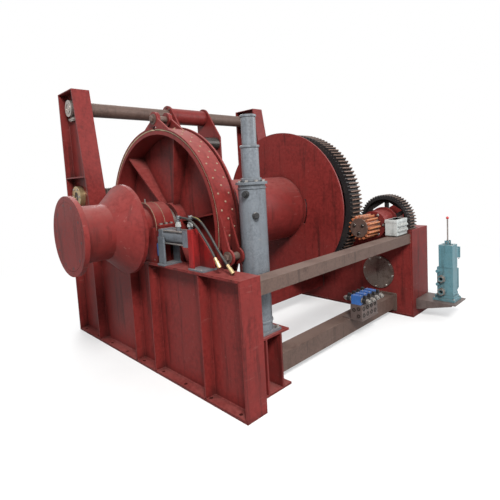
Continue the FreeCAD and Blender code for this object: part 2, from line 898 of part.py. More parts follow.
def drum():
    """Barrel, two flanges and bushed hubs, turned as one welded drum with a rope slot."""
    plate = S.drum_flange_plate
    bore = S.shaft_radius + S.running_gap
    a = DRUM_LEFT
    b = DRUM_RIGHT
    hub = S.drum_hub_length
    inner = S.barrel_radius - S.barrel_wall
    outline = [
        (a - hub, bore), (a - hub, S.drum_hub_radius), (a, S.drum_hub_radius), (a, S.drum_flange_radius),
        (a + plate, S.drum_flange_radius), (a + plate, S.barrel_radius), (b, S.barrel_radius),
        (b, S.drum_flange_radius), (b + plate, S.drum_flange_radius), (b + plate, S.drum_hub_radius),
        (b + hub, S.drum_hub_radius), (b + hub, bore), (b, bore), (b, inner), (a + plate, inner),
        (a + plate, bore),
    ]
    body = turned(outline, SHAFT)
    slot = arc_sector(S.rope_slot_radius - S.rope_slot_width / 2, S.rope_slot_radius + S.rope_slot_width / 2,
                      past((b, b + plate)), S.rope_slot_start, S.rope_slot_angle)
    name_part(cut(body, slot), "drum")


def brake_wheel():
    """A rim on the drum's left flange, open to the left, with deep-to-shallow radial ribs."""
    inner = S.wheel_radius - S.wheel_rim
    a = WHEEL[0]
    b = WHEEL[1]
    rim = turned([(a, inner), (a, S.wheel_radius), (b, S.wheel_radius), (b, inner)], (Size.of(0), Size.of(0)))
    body = new_body("WheelRib")
    outline = [(b, S.drum_hub_radius), (b, inner + BITE), (a + S.rib_rim_gap, inner + BITE),
               (b - S.rib_hub_depth, S.drum_hub_radius)]
    sketch = outline_sketch(body, "XY_Plane", outline, -S.wheel_rib_plate / 2)
    bind(body, "Placement.Rotation.Angle", S.wheel_rib_angle)
    body.Placement = FreeCAD.Placement(Vector(), FreeCAD.Rotation(Vector(1, 0, 0), S.wheel_rib_angle.value))
    pad = body.newObject("PartDesign::Pad", "Rib")
    pad.Profile = sketch
    bind(pad, "Length", S.wheel_rib_plate)
    ribs = body.newObject("PartDesign::PolarPattern", "Ribs")
    ribs.Originals = [pad]
    ribs.Axis = (next(o for o in body.Origin.OriginFeatures if o.Role == "X_Axis"), [""])
    ribs.Angle = 360
    bind(ribs, "Occurrences", S.wheel_rib_count)
    body.Tip = ribs
    name_part(fuse(rim, body), "brake_wheel")
    place(PARTS[-1], 0, SHAFT[0], SHAFT[1])


BAND_IN = S.wheel_radius + S.brake_gap
BAND = (BAND_IN + S.lining_thickness, BAND_IN + S.lining_thickness + S.band_thickness)
BAND_X = (WHEEL[0], DRUM_LEFT - S.band_drum_gap)


def heading(place_yz):
    """The angle, in degrees from +Y towards +Z, at which a (y, z) place lies from the drum shaft."""
    y = Size.of(place_yz[0]) - SHAFT[0]
    z = Size.of(place_yz[1]) - SHAFT[1]
    turn = math.degrees(math.atan2(z.value, y.value))
    return Size("(atan2({}; {}) / 1deg)".format(z.text, y.text), turn)


def band_lug(first, last, eye_angle, reach, span):
    """A lug plate whose foot follows the band between two angles and whose eye holds a pin."""
    pin = spot(eye_angle, reach)
    foot = BAND[1] - S.lug_bite
    middle = (first + last) / 2
    side = S.band_lug_radius if last.value < eye_angle.value else -S.band_lug_radius
    across = (sine(eye_angle) * side, cosine(eye_angle) * side)
    far = (pin[0] - across[0], pin[1] + across[1])
    near = (pin[0] + across[0], pin[1] - across[1])
    outline = [spot(first, foot), spot(middle, foot), spot(last, foot), far, near]
    plate = padded("YZ_Plane", outline, span)
    return fuse(plate, rod("x", S.band_lug_radius, span, pin))


CYLINDER = (LEFT + S.cylinder_offset, FRONT + S.cylinder_setback)
STAND_X = (CYLINDER[0] - S.stand_width / 2, CYLINDER[0] + S.stand_width / 2)
LIVE_PIN_END = CYLINDER[0] - S.cylinder_radius / 2
FIXED_PIN_Y = FRONT + S.stiffener_one - S.stiffener_plate / 2 - S.fixed_pin_gap - S.band_pin_radius
FIXED_PIN_DROP = root(S.fixed_pin_reach * S.fixed_pin_reach - FIXED_PIN_Y * FIXED_PIN_Y)
FIXED_PIN = (FIXED_PIN_Y, SHAFT_HEIGHT - FIXED_PIN_DROP)


def brake():
    """Two band halves with lining, hinged at the top and pinned at both lower ends."""
    live_pin = spot(S.live_end_angle, S.live_pin_reach)
    top_pin = spot(S.top_joint_angle, S.top_pin_reach)
    fixed_angle = heading(FIXED_PIN)
    end_gap = S.lug_end_gap
    front_start = S.top_joint_angle + S.top_joint_gap / 2
    front_sweep = S.live_end_angle - front_start - end_gap
    back_start = fixed_angle + end_gap
    back_sweep = S.top_joint_angle - S.top_joint_gap / 2 - back_start
    plate = S.band_lug_plate
    x = BAND_X
    left_lug = (x[0] + S.lug_inset, x[0] + S.lug_inset + plate)
    right_lug = (x[1] - S.lug_inset - plate, x[1] - S.lug_inset)
    step = plate + S.lug_side_gap
    outer_pair = (left_lug, right_lug)
    inner_pair = ((left_lug[0] + step, left_lug[1] + step), (right_lug[0] - step, right_lug[1] - step))
    barrel_side = CYLINDER[0] - S.cylinder_radius - S.lug_barrel_gap
    barrel_lug = (barrel_side - plate, barrel_side)
    live_pair = (left_lug, barrel_lug)
    fixed_pair = (inner_pair[0], barrel_lug)
    front = [arc_sector(BAND[0], BAND[1], x, front_start, front_sweep)]
    back = [arc_sector(BAND[0], BAND[1], x, back_start, back_sweep)]
    for span in live_pair:
        last = S.live_end_angle - end_gap * 2
        front.append(band_lug(last - S.live_lug_sweep, last, S.live_end_angle, S.live_pin_reach, span))
    for span in outer_pair:
        first = front_start + S.top_lug_turn
        front.append(band_lug(first + S.top_lug_sweep, first, S.top_joint_angle, S.top_pin_reach, span))
    for span in inner_pair:
        last = S.top_joint_angle - S.top_joint_gap / 2 - S.top_lug_turn
        back.append(band_lug(last - S.top_lug_sweep, last, S.top_joint_angle, S.top_pin_reach, span))
    for span in fixed_pair:
        first = back_start + end_gap
        back.append(band_lug(first + S.fixed_lug_sweep, first, fixed_angle, S.fixed_pin_reach, span))
    pin_r = S.band_pin_radius
    inset = S.band_pin_inset
    pins = [rod("x", pin_r, (x[0] + inset, x[1] - inset), top_pin),
            rod("x", pin_r, (x[0] + inset, LIVE_PIN_END), live_pin),
            rod("x", pin_r, (LEFT_WEB[1], barrel_side + inset), FIXED_PIN)]
    front_solid = cut(fuse(*front), rod("x", pin_r, x, top_pin), rod("x", pin_r, x, live_pin))
    back_solid = cut(fuse(*back), rod("x", pin_r, x, top_pin), rod("x", pin_r, x, FIXED_PIN))
    name_part(front_solid, "brake_band_front")
    name_part(back_solid, "brake_band_back")
    lining_x = (x[0] + S.band_margin, x[1] - S.band_margin)
    linings = [arc_sector(BAND_IN, BAND[0], lining_x, front_start, front_sweep),
               arc_sector(BAND_IN, BAND[0], lining_x, back_start, back_sweep)]
    name_part(group(*linings), "brake_lining")
    name_part(group(*pins), "brake_pins")
    brake_cylinder(live_pin)


def brake_cylinder(live_pin):
    """The upright spring cylinder with stepped tubes, on its own stand."""
    base_top = S.stand_height + S.cylinder_base_plate
    half = S.cylinder_base / 2
    base = block((CYLINDER[0] - half, CYLINDER[0] + half), (CYLINDER[1] - half, CYLINDER[1] + half),
                 (S.stand_height, base_top))
    barrel = rod("z", S.cylinder_radius, (base_top, S.cylinder_top), CYLINDER)
    flange_z = (S.cylinder_top - S.cylinder_flange_plate, S.cylinder_top)
    flange = rod("z", S.cylinder_flange_radius, flange_z, CYLINDER)
    spring = rod("z", S.spring_tube_radius, (S.cylinder_top, S.spring_tube_top), CYLINDER)
    top = rod("z", S.rod_tube_radius, (S.spring_tube_top, S.rod_tube_top), CYLINDER)
    solid = fuse(base, barrel, flange, spring, top)
    eye = rod("x", S.band_pin_radius, (CYLINDER[0] - S.cylinder_radius - OVERRUN, LIVE_PIN_END), live_pin)
    name_part(cut(solid, eye), "brake_cylinder")
    y = (CYLINDER[1] - S.stand_depth / 2, CYLINDER[1] + S.stand_depth / 2)
    plate = S.stand_plate
    inset = S.stand_leg_inset
    stand = fuse(block(STAND_X, y, (0, plate)), block(STAND_X, y, (S.stand_height - plate, S.stand_height)),
                 block((STAND_X[0] + inset, STAND_X[0] + inset + plate), y, (0, S.stand_height)),
                 block((STAND_X[1] - inset - plate, STAND_X[1] - inset), y, (0, S.stand_height)),
                 block((STAND_X[0] + inset, STAND_X[1] - inset), (y[1] - plate, y[1]), (0, S.stand_height)))
    name_part(stand, "brake_stand")


# ----------------------------------------------------------------------------------------
# Gears
# ----------------------------------------------------------------------------------------
def involute(angle):
    """The involute of an angle in radians."""
    return math.tan(angle) - angle


def half_tooth(teeth, module, radius, backlash):
    """Half the angle of a tooth at a radius, in radians."""
    pitch = module * teeth / 2
    pressure = math.radians(S.pressure_angle.value)
    base = pitch * math.cos(pressure)
    here = math.acos(min(1, base / max(radius, base)))
    start = (math.pi * module / 2 - backlash / 2) / (2 * pitch)
    return start + involute(pressure) - involute(here)


def toothed_face(teeth, module, phase, backlash, flank_steps):
    """A gear's outline about X in the YZ plane, with one tooth centred at the phase angle."""
    pitch = module * teeth / 2
    low = pitch - S.root_depth.value * module
    high = pitch + module
    radii = [low + (high - low) * step / flank_steps for step in range(flank_steps + 1)]
    flank = [(radius, half_tooth(teeth, module, radius, backlash)) for radius in radii]
    points = []
    for tooth in range(teeth):
        centre = math.radians(phase) + 2 * math.pi * tooth / teeth
        for radius, half in flank:
            points.append((radius, centre - half))
        for radius, half in reversed(flank):
            points.append((radius, centre + half))
    corners = [Vector(0, r * math.cos(a), r * math.sin(a)) for r, a in points]
    return Part.Face(Part.makePolygon(corners + corners[:1]))


def gear_rim(teeth, module, phase, span, centre, inner, flank_steps, name):
    """A toothed rim between two planes, bored out to an inner radius."""
    face = toothed_face(int(teeth.value), module.value, phase.value, S.backlash.value, int(flank_steps.value))
    width = span[1].value - span[0].value
    solid = face.extrude(Vector(width, 0, 0))
    bore = Part.makeCylinder(inner.value, width + 2 * OVERRUN, Vector(-OVERRUN, 0, 0), Vector(1, 0, 0))
    item = document.addObject("Part::Feature", name)
    item.Shape = solid.cut(bore)
    seat = Vector(span[0].value, centre[0].value, centre[1].value)
    item.Placement = FreeCAD.Placement(seat, FreeCAD.Rotation())
    return item


def windowed_web(span, outer, inner, count, window, margin, centre, hub, hub_span, bore):
    """A gear's web with windows between its spokes, and its hub."""
    web = turned([(span[0], bore), (span[0], outer), (span[1], outer), (span[1], bore)],
                 (Size.of(0), Size.of(0)))
    cutter = new_body("Window")
    half = 180.0 / int(count.value)
    low, high = window
    shape = []
    for reach, sign in ((low, -1), (high, -1), (high, 1), (low, 1)):
        angle = Size.of(half * sign)
        shape.append((cosine(angle) * reach, sine(angle) * reach - margin * sign))
    through = past(span)
    sketch = outline_sketch(cutter, "YZ_Plane", shape, through[0])
    pad = cutter.newObject("PartDesign::Pad", "Opening")
    pad.Profile = sketch
    bind(pad, "Length", through[1] - through[0])
    pattern = cutter.newObject("PartDesign::PolarPattern", "Openings")
    pattern.Originals = [pad]
    pattern.Axis = (next(o for o in cutter.Origin.OriginFeatures if o.Role == "X_Axis"), [""])
    pattern.Angle = 360
    bind(pattern, "Occurrences", count)
    cutter.Tip = pattern
    boss = tube("x", hub, bore, hub_span, (Size.of(0), Size.of(0)))
    item = fuse(cut(web, cutter), boss)
    place(item, 0, centre[0], centre[1])
    return item


def gears():
    """Ring gear, its pinion, the spoked second gear and the motor's gear, all in mesh."""
    ring_x = (LEFT + S.ring_face, LEFT + S.ring_face + S.ring_width)
    middle = LEFT + S.ring_face + S.ring_width / 2
    towards_pinion = 180 + S.pinion_drop_angle
    rim = gear_rim(S.ring_teeth, S.main_module, towards_pinion, ring_x, SHAFT,
                   S.ring_rim_radius, S.ring_flank_steps, "RingRim")
    web_x = (middle - S.ring_web_plate / 2, middle + S.ring_web_plate / 2)
    web = windowed_web(web_x, S.ring_rim_radius + BITE,
                       S.ring_hub_radius, S.ring_window_count, (S.ring_window_inner, S.ring_window_outer),
                       S.ring_window_margin, SHAFT, S.ring_hub_radius,
                       (middle - S.ring_hub_length / 2, middle + S.ring_hub_length / 2), S.shaft_radius)
    name_part(fuse(rim, web), "ring_gear")

    pinion_x = (ring_x[0] - S.pinion_overhang, ring_x[1] + S.pinion_overhang)
    phase = S.pinion_drop_angle + 180 / S.pinion_teeth
    name_part(gear_rim(S.pinion_teeth, S.main_module, phase, pinion_x, PINION_AXIS,
                       S.pinion_shaft_radius, S.pinion_flank_steps, "Pinion"), "drive_pinion")
    disc_x = (pinion_x[0] - S.pinion_disc_plate, pinion_x[0])
    name_part(rod("x", S.pinion_disc_radius, disc_x, PINION_AXIS), "pinion_end_disc")
    shaft_x = (pinion_x[0], OUTER + S.pinion_shaft_overhang)
    collar_x = (pinion_x[1], RIGHT - S.pinion_housing_length - S.pinion_collar_gap)
    shaft = fuse(rod("x", S.pinion_shaft_radius, shaft_x, PINION_AXIS),
                 rod("x", S.pinion_shaft_radius + S.pinion_collar_wall, collar_x, PINION_AXIS))
    name_part(shaft, "pinion_shaft")

    rim = gear_rim(S.second_teeth, S.second_module, S.motor_angle, SECOND_GEAR, PINION_AXIS,
                   S.second_rim_radius, S.second_flank_steps, "SecondRim")
    middle = SECOND_GEAR[0] + S.second_width / 2
    web = windowed_web((middle - S.second_web_plate / 2, middle + S.second_web_plate / 2),
                       S.second_rim_radius + BITE, S.second_hub_radius, S.second_window_count,
                       (S.second_window_inner, S.second_window_outer), S.second_window_margin, PINION_AXIS,
                       S.second_hub_radius, SECOND_GEAR, S.pinion_shaft_radius)
    name_part(fuse(rim, web), "spoked_gear")

    phase = S.motor_angle + 180 + 180 / S.motor_teeth
    rim = gear_rim(S.motor_teeth, S.second_module, phase, SECOND_GEAR, MOTOR_AXIS,
                   S.motor_shaft_radius - BITE, S.second_flank_steps, "MotorRim")
    shaft = rod("x", S.motor_shaft_radius, (RIGHT, OUTER + S.motor_shaft_overhang), MOTOR_AXIS)
    name_part(fuse(rim, shaft), "motor_gear")


def gear_bearings():
    """The pinion shaft's quills, the polished cover and the hydraulic motor."""
    bore = S.pinion_shaft_radius + S.running_gap
    quill_x = (RIGHT - S.pinion_housing_length, INNER_WEB[1])
    inner = fuse(rod("x", S.pinion_housing_radius, (quill_x[0], RIGHT), PINION_AXIS),
                 rod("x", PINION_SEAT, (RIGHT - BITE, quill_x[1]), PINION_AXIS))
    inner = cut(inner, rod("x", bore, past(quill_x), PINION_AXIS))
    outer_x = (OUTER_WEB[0], OUTER + S.outer_quill_length)
    outer = fuse(rod("x", PINION_SEAT, outer_x, PINION_AXIS),
                 rod("x", S.pinion_housing_radius, (OUTER, outer_x[1]), PINION_AXIS))
    outer = cut(outer, rod("x", bore, past(outer_x), PINION_AXIS))
    name_part(group(inner, outer), "pinion_bearings")
    face = RIGHT
    seat = S.motor_seat_radius
    bore = S.motor_shaft_radius + S.running_gap
    cover = turned([(face - S.cover_plate - S.cover_dome, 0), (face - S.cover_plate, S.cover_dome_radius),
                    (face - S.cover_plate, S.cover_radius), (face, S.cover_radius), (face, seat),
                    (INNER_WEB[1], seat), (INNER_WEB[1], bore),
                    (face - S.cover_lip, bore), (face - S.cover_lip, 0)], MOTOR_AXIS)
    name_part(cover, "bearing_cover")
    motor = fuse(rod("x", S.motor_flange_radius, (OUTER, OUTER + S.motor_flange_plate), MOTOR_AXIS),
                 rod("x", S.motor_radius, (OUTER, OUTER + S.motor_length), MOTOR_AXIS),
                 rod("x", seat, (OUTER_WEB[0], OUTER + BITE), MOTOR_AXIS))
    hole = rod("x", bore, past((OUTER_WEB[0], OUTER + S.motor_shaft_overhang)), MOTOR_AXIS)
    name_part(cut(motor, hole), "hydraulic_motor")


# ----------------------------------------------------------------------------------------
# Spooling carriage
# ----------------------------------------------------------------------------------------
def carriage():
    """Two cheek plates joined by a sleeve on the rod and a nut on the screw, with rollers."""
    start = LEFT + S.carriage_start
    end = start + S.carriage_width
    plate = S.cheek_plate
    y, z = ROD_LINE
    shoulder_y = y - S.cheek_reach
    shoulder_z = z - S.cheek_shoulder_drop
    low_z = SCREW_LINE[1]
    reach = S.cheek_top_radius
    cheeks = []
    for x in ((start, start + plate), (end - plate, end)):
        outline = [(y - reach * S.cheek_back_share, z + reach * S.cheek_top_share), (shoulder_y, shoulder_z),
                   (shoulder_y, low_z - S.cheek_foot_drop),
                   (y - S.nut_radius * S.nut_near_share, low_z - S.nut_radius * S.nut_low_share),
                   (y + S.nut_radius * S.cheek_far_share, low_z), (y + reach * S.cheek_far_share, z)]
        cheeks.append(padded("YZ_Plane", outline, x))
        cheeks.append(rod("x", reach, x, ROD_LINE))
        cheeks.append(rod("x", S.nut_radius, x, SCREW_LINE))
    sleeve = rod("x", S.sleeve_radius, (start, end), ROD_LINE)
    nut = rod("x", S.nut_radius - S.nut_step, (start, end), SCREW_LINE)
    wide = past((start, end))
    rod_bore = rod("x", S.rod_radius + S.running_gap, wide, ROD_LINE)
    screw_bore = rod("x", S.screw_radius + S.running_gap, wide, SCREW_LINE)
    name_part(cut(fuse(*cheeks, sleeve, nut), rod_bore, screw_bore), "carriage_frame")
    roller_y = shoulder_y + S.roller_radius + S.roller_inset
    middle = (start + end) / 2
    level = (SCREW_LINE[1] + S.roller_rise, z - S.top_roller_drop - S.top_roller_radius - S.roller_end_gap)
    rollers = []
    for side in (-1, 1):
        rollers.append(rod("z", S.roller_radius, level, (middle + S.roller_spacing / 2 * side, roller_y)))
    rollers.append(rod("x", S.top_roller_radius, (start + plate, end - plate),
                       (y - S.top_roller_reach, z - S.top_roller_drop)))
    name_part(group(*rollers), "carriage_rollers")


# ----------------------------------------------------------------------------------------
# Clutch gear on the left frame
# ----------------------------------------------------------------------------------------
CLUTCH_X = LEFT + S.clutch_line
CLUTCH_Z = S.frame_height + S.clutch_rise
CLUTCH_NEAR = FRONT + S.clutch_near
CLUTCH_FAR = CLUTCH_NEAR + S.clutch_length
PORTS = (
    (CLUTCH_X - S.port_left, CLUTCH_NEAR + S.port_first + S.port_pitch),
    (CLUTCH_X + S.port_right, CLUTCH_NEAR + S.port_first),
)


def clutch_drive():
    """The clutch's small cylinder with its rod, fork, lever and stop bracket."""
    x = CLUTCH_X
    z = CLUTCH_Z
    near = CLUTCH_NEAR
    far = CLUTCH_FAR
    half = S.clutch_head_size / 2
    width = S.clutch_head_width
    solids = [rod("y", S.clutch_barrel_radius, (near, far), (x, z)),
              rod("y", S.clutch_rod_radius, (far, far + S.clutch_rod_reach), (x, z))]
    for span in ((near, near + width), (far - width, far)):
        solids.append(block((x - half, x + half), span, (z - half, z + half)))
    for port_x, port_y in PORTS:
        rise = z + S.port_rise
        solids.append(rod("z", S.port_radius, (z, z + half + S.port_neck), (port_x, port_y)))
        solids.append(rod("z", S.elbow_radius, (z, rise + S.elbow_radius), (port_x, port_y)))
        solids.append(rod("y", S.elbow_radius, (port_y - S.elbow_reach, port_y), (port_x, rise)))
    name_part(fuse(*solids), "clutch_cylinder")

    top = S.frame_height
    seat = top + S.clutch_base_plate
    fork_y = (far - S.fork_leg_depth, far)
    leg = S.fork_leg_plate
    fork_x = (x - half - leg, x + half + leg)
    legs = [block(span, fork_y, (top, z)) for span in ((fork_x[0], x - half), (x + half, fork_x[1]))]
    base = block((fork_x[0] - S.fork_base_margin, fork_x[1]),
                 (fork_y[0] - S.fork_base_margin, fork_y[1]), (top, seat))
    stop_x = (x - S.stop_width / 2, x + S.stop_width / 2)
    stop_y = (near - S.stop_plate - S.stop_gusset_depth, near)
    margin = S.stop_base_margin
    stop_base = block((stop_x[0] - margin, stop_x[1] + margin), stop_y, (top, seat))
    name_part(group(fuse(*legs, base), stop_base), "clutch_fork_bracket")

    lever_y = (far + S.clutch_rod_reach - S.lever_plate_depth, far + S.clutch_rod_reach)
    lever_x = (x - S.lever_plate_thickness / 2, x + S.lever_plate_thickness / 2)
    lever = padded("YZ_Plane", [(lever_y[0], top), (lever_y[1], top), (lever_y[1], z + S.lever_plate_top),
                                (lever_y[0] + S.lever_plate_chamfer, z + S.lever_plate_top)], lever_x)
    pin_hole = rod("y", S.clutch_rod_radius, past(lever_y), (x, z))
    name_part(cut(lever, pin_hole), "clutch_lever")

    plate = S.stop_plate
    plate_y = (near - plate, near)
    stop_top = seat + S.stop_rise
    lip = block((stop_x[0], stop_x[0] + plate), (plate_y[0] - S.stop_lip_depth, plate_y[0]), (seat, stop_top))
    nose = (stop_y[0], seat + S.stop_gusset_nose)
    corner = (plate_y[0], seat + S.stop_gusset_rise)
    outline = [(plate_y[0], seat), (stop_y[0], seat), nose, corner]
    gusset = padded("YZ_Plane", outline, (stop_x[1] - plate, stop_x[1]))
    name_part(fuse(block(stop_x, plate_y, (seat, stop_top)), lip, gusset), "clutch_stop_bracket")


# Each hose's route after its elbow, by hand, as steps from the elbow's mouth.
HOSE_ROUTES = (
    ((0, -68, 0), (0, -153, -22), (-2, -238, -74), (-4, -320, -154), (-6, -395, -232), (-8, -453, -308)),
    ((0, -65, 0), (-1, -142, -50), (-2, -226, -136), (-3, -305, -236), (-4, -371, -310), (-4, -425, -361)),
)


def bent_path(points, share):
    """Straight runs joined by tangent arcs, each as large as its two runs allow."""
    edges = []
    start = points[0]
    for before, corner, after in zip(points, points[1:], points[2:]):
        incoming = corner - before
        outgoing = after - corner
        shorter = min(incoming.Length, outgoing.Length)
        back = corner - Vector(incoming).normalize() * shorter * share
        ahead = corner + Vector(outgoing).normalize() * shorter * share
        turn = incoming.getAngle(outgoing)
        radius = shorter * share / math.tan(turn / 2)
        to_centre = (Vector(outgoing).normalize() - Vector(incoming).normalize()).normalize()
        middle = corner + to_centre * (radius / math.cos(turn / 2) - radius)
        edges.append(Part.LineSegment(start, back).toShape())
        edges.append(Part.Arc(back, middle, ahead).toShape())
        start = ahead
    edges.append(Part.LineSegment(start, points[-1]).toShape())
    return Part.Wire(edges)


def clutch_hoses():
    """Two short hoses from the cylinder's elbows, with brass ends lying towards the frame top."""
    ends = []
    for number, ((port_x, port_y), route) in enumerate(zip(PORTS, HOSE_ROUTES), 1):
        mouth = Vector(port_x.value, (port_y - S.elbow_reach).value, (CLUTCH_Z + S.port_rise).value)
        points = [mouth] + [mouth + Vector(*step) for step in route]
        path = bent_path(points, S.hose_bend_share.value)
        radius = S.hose_radius.value
        ring = Part.Wire(Part.makeCircle(radius, mouth, points[1] - mouth))
        hose = document.addObject("Part::Feature", "Hose")
        hose.Shape = path.makePipeShell([ring], True, False)
        name_part(hose, "clutch_hose_{}".format(number))
        along = (points[-1] - points[-2]).normalize()
        neck_length = S.hose_end_neck_length.value
        neck = Part.makeCylinder(S.hose_end_neck_radius.value, neck_length, points[-1], along)
        nut_length = S.hose_end_length.value - neck_length
        nut = Part.makeCylinder(S.hose_end_radius.value, nut_length, points[-1] + along * neck_length, along)
        ends.append(neck.fuse(nut).removeSplitter())
    fittings = document.addObject("Part::Feature", "HoseEnds")
    fittings.Shape = Part.makeCompound(ends)
    name_part(fittings, "hose_end_fittings")


# ----------------------------------------------------------------------------------------
# Electrical and hydraulic controls
# ----------------------------------------------------------------------------------------
def controls():
    """Junction box, valve manifold, and the shelf for the hand valve."""
    box_x = (RIGHT - S.box_gap - S.box_length, RIGHT - S.box_gap)
    box_back = PINION_AXIS[0] - S.pinion_housing_radius - S.quill_clearance
    box_y = (box_back - S.box_depth, box_back)
    foot_top = UPPER_BEAM_TOP + S.box_foot
    inset = S.box_foot_inset
    foot = block((box_x[0] + inset, box_x[1] - inset), (box_y[0] + inset, box_y[1] - inset * 2),
                 (UPPER_BEAM_TOP, foot_top))
    name_part(fuse(foot, block(box_x, box_y, (foot_top, foot_top + S.box_height))), "junction_box")

    start = LEFT + S.manifold_start
    end = start + S.manifold_length
    beam_near = FRONT + S.lower_beam_setback
    y = (beam_near - S.manifold_overhang - S.manifold_depth, beam_near - S.manifold_overhang)
    shelf_top = LOWER_BEAM_TOP + S.manifold_shelf
    margin = S.manifold_shelf_margin
    shelf = block((start - margin, end + margin), (y[0] - margin, beam_near + S.manifold_shelf_bearing),
                  (LOWER_BEAM_TOP, shelf_top))
    block_top = shelf_top + S.manifold_height
    name_part(fuse(shelf, block((start, end), y, (shelf_top, block_top))), "valve_manifold")
    valves = []
    solenoids = []
    count = int(S.valve_block_count.value)
    inset = S.valve_block_inset
    valve_y = (y[0] + inset, y[1] - inset)
    pitch = (S.manifold_length - S.valve_block_width) / (count - 1)
    axis_z = block_top + S.valve_block_height / 2
    for number in range(count):
        x = (start + pitch * number, start + pitch * number + S.valve_block_width)
        middle = (x[0] + x[1]) / 2
        valves.append(block(x, valve_y, (block_top, block_top + S.valve_block_height)))
        reach = S.solenoid_length
        for span in ((valve_y[0] - reach, valve_y[0]), (valve_y[1], valve_y[1] + reach)):
            solenoids.append(rod("y", S.solenoid_radius, span, (middle, axis_z)))
    name_part(group(*valves), "manifold_valves")
    name_part(group(*solenoids), "valve_solenoids")

    level = S.shelf_level
    under = level - S.shelf_plate
    shelf = block(SHELF_X, (SHELF_NEAR, FRONT), (under, level))
    gusset_near = SHELF_NEAR + S.gusset_inset
    outline = [(FRONT, under), (FRONT, under - S.gusset_depth), (gusset_near, under - S.gusset_nose),
               (gusset_near, under)]
    gusset = padded("YZ_Plane", outline, (SHELF_X[0], SHELF_X[0] + S.shelf_plate))
    name_part(fuse(shelf, gusset), "control_shelf")


SHELF_X = (LEFT + S.shelf_start, LEFT + S.shelf_start + S.shelf_width)
SHELF_NEAR = FRONT - S.shelf_reach


def control_valve():
    """The hand valve: foot, plinth, body, head with an arm, side case and ports, and its lever."""
    middle = (SHELF_X[0] + SHELF_X[1]) / 2 + S.valve_offset
    back = SHELF_NEAR + S.valve_inset
    level = S.shelf_level
    foot_x = (middle - S.valve_base_width / 2, middle + S.valve_base_width / 2)
    foot_y = (back, back + S.valve_base_depth)
    foot_top = level + S.valve_base_height
    foot = block(foot_x, foot_y, (level, foot_top))
    plinth_margin = S.valve_plinth_margin
    base_top = foot_top + S.valve_plinth_height
    plinth = block((foot_x[0] + plinth_margin, foot_x[1] - plinth_margin),
                   (foot_y[0] + plinth_margin / 2, foot_y[1] - plinth_margin / 2), (foot_top, base_top))
    body_x = (middle - S.body_width / 2, middle + S.body_width / 2)
    body_y = (foot_y[0] + plinth_margin, foot_y[0] + plinth_margin + S.body_depth)
    body_top = base_top + S.body_height
    body = block(body_x, body_y, (base_top, body_top))
    head_x = (middle - S.head_width / 2, middle + S.head_width / 2)
    head_y = (body_y[0], body_y[0] + S.head_depth)
    head_top = body_top + S.head_height
    head = block(head_x, head_y, (body_top, head_top))
    axis_y = (head_y[0] + head_y[1]) / 2
    arm_y = (axis_y - S.arm_depth / 2, axis_y + S.arm_depth / 2)
    arm_low = head_top - S.arm_rise
    arm_high = arm_low + S.arm_height
    arm_end = head_x[1] + S.arm_length
    arm_start = head_x[1] - BITE
    arm_top = arm_high - S.arm_step
    arm = padded("XZ_Plane", [(arm_start, arm_low), (arm_end, arm_low), (arm_end, arm_top),
                              (arm_end - S.arm_length / 2, arm_top), (head_x[1], arm_high + S.arm_slope),
                              (arm_start, arm_high + S.arm_slope)], arm_y)
    margin = S.arm_flange_margin
    flange = block((arm_end, arm_end + S.arm_flange_width), (arm_y[0] - margin, arm_y[1] + margin),
                   (arm_low - margin, arm_top + margin))
    case_low = base_top + S.side_case_rise
    case_y = (body_y[0] + S.side_case_inset, body_y[1] - S.side_case_inset)
    case_z = (case_low, case_low + S.side_case_height)
    case = block((body_x[1], body_x[1] + S.side_case_length), case_y, case_z)
    solids = [foot, plinth, body, head, arm, flange, case]
    bores = []
    port_y = body_y[0] + S.valve_port_inset
    face = body_x[0]
    for number in range(2):
        port_z = base_top + S.valve_port_first + S.valve_port_pitch * number
        port = (port_y, port_z)
        solids.append(rod("x", S.valve_port_radius, (face - S.valve_port_reach, face + BITE), port))
        solids.append(rod("x", S.valve_port_collar, (face - S.valve_port_collar_width, face + BITE), port))
        plug = (body_y[1] - S.plug_radius, port_z + S.valve_port_pitch / 2 + S.plug_shift)
        solids.append(rod("x", S.plug_radius, (face - S.plug_reach, face + BITE), plug))
        bore_x = (face - S.valve_port_reach - OVERRUN, face - S.valve_port_floor)
        bores.append(rod("x", S.valve_port_bore, bore_x, port))
    pivot = (axis_y, head_top + S.lever_pivot_rise)
    margin = S.lever_slot_margin
    slot_x = (middle - S.lever_slot_width / 2, middle + S.lever_slot_width / 2)
    slot = block(slot_x, (head_y[0] + margin, head_y[1] - margin),
                 (head_top - S.lever_slot_depth, head_top + OVERRUN))
    ear = S.lever_ear_size / 2
    ears = []
    for side in (-1, 1):
        ear_x = middle + (S.lever_ear_gap + S.lever_ear_plate) / 2 * side
        ear_span = (ear_x - S.lever_ear_plate / 2, ear_x + S.lever_ear_plate / 2)
        ears.append(block(ear_span, (axis_y - ear, axis_y + ear), (head_top - BITE, pivot[1] + ear)))
    pin_half = S.lever_ear_gap / 2 + S.lever_ear_plate
    pin_span = (middle - pin_half - S.lever_pin_proud, middle + pin_half + S.lever_pin_proud)
    pin_hole = rod("x", S.lever_pin_radius + S.running_gap, past(pin_span), pivot)
    name_part(cut(fuse(*solids, *ears), slot, pin_hole, *bores), "control_valve")
    boss_half = S.lever_boss_width / 2
    stick_z = (pivot[1], pivot[1] + S.lever_length)
    lever = fuse(rod("x", S.lever_pin_radius, pin_span, pivot),
                 rod("x", S.lever_boss_radius, (middle - boss_half, middle + boss_half), pivot),
                 rod("z", S.lever_radius, stick_z, (middle, axis_y)))
    name_part(lever, "control_lever")
    knob = document.addObject("Part::Sphere", "Knob")
    bind(knob, "Radius", S.knob_radius)
    place(knob, middle, axis_y, stick_z[1])
    name_part(cut(knob, rod("z", S.lever_radius, stick_z, (middle, axis_y))), "lever_knob")


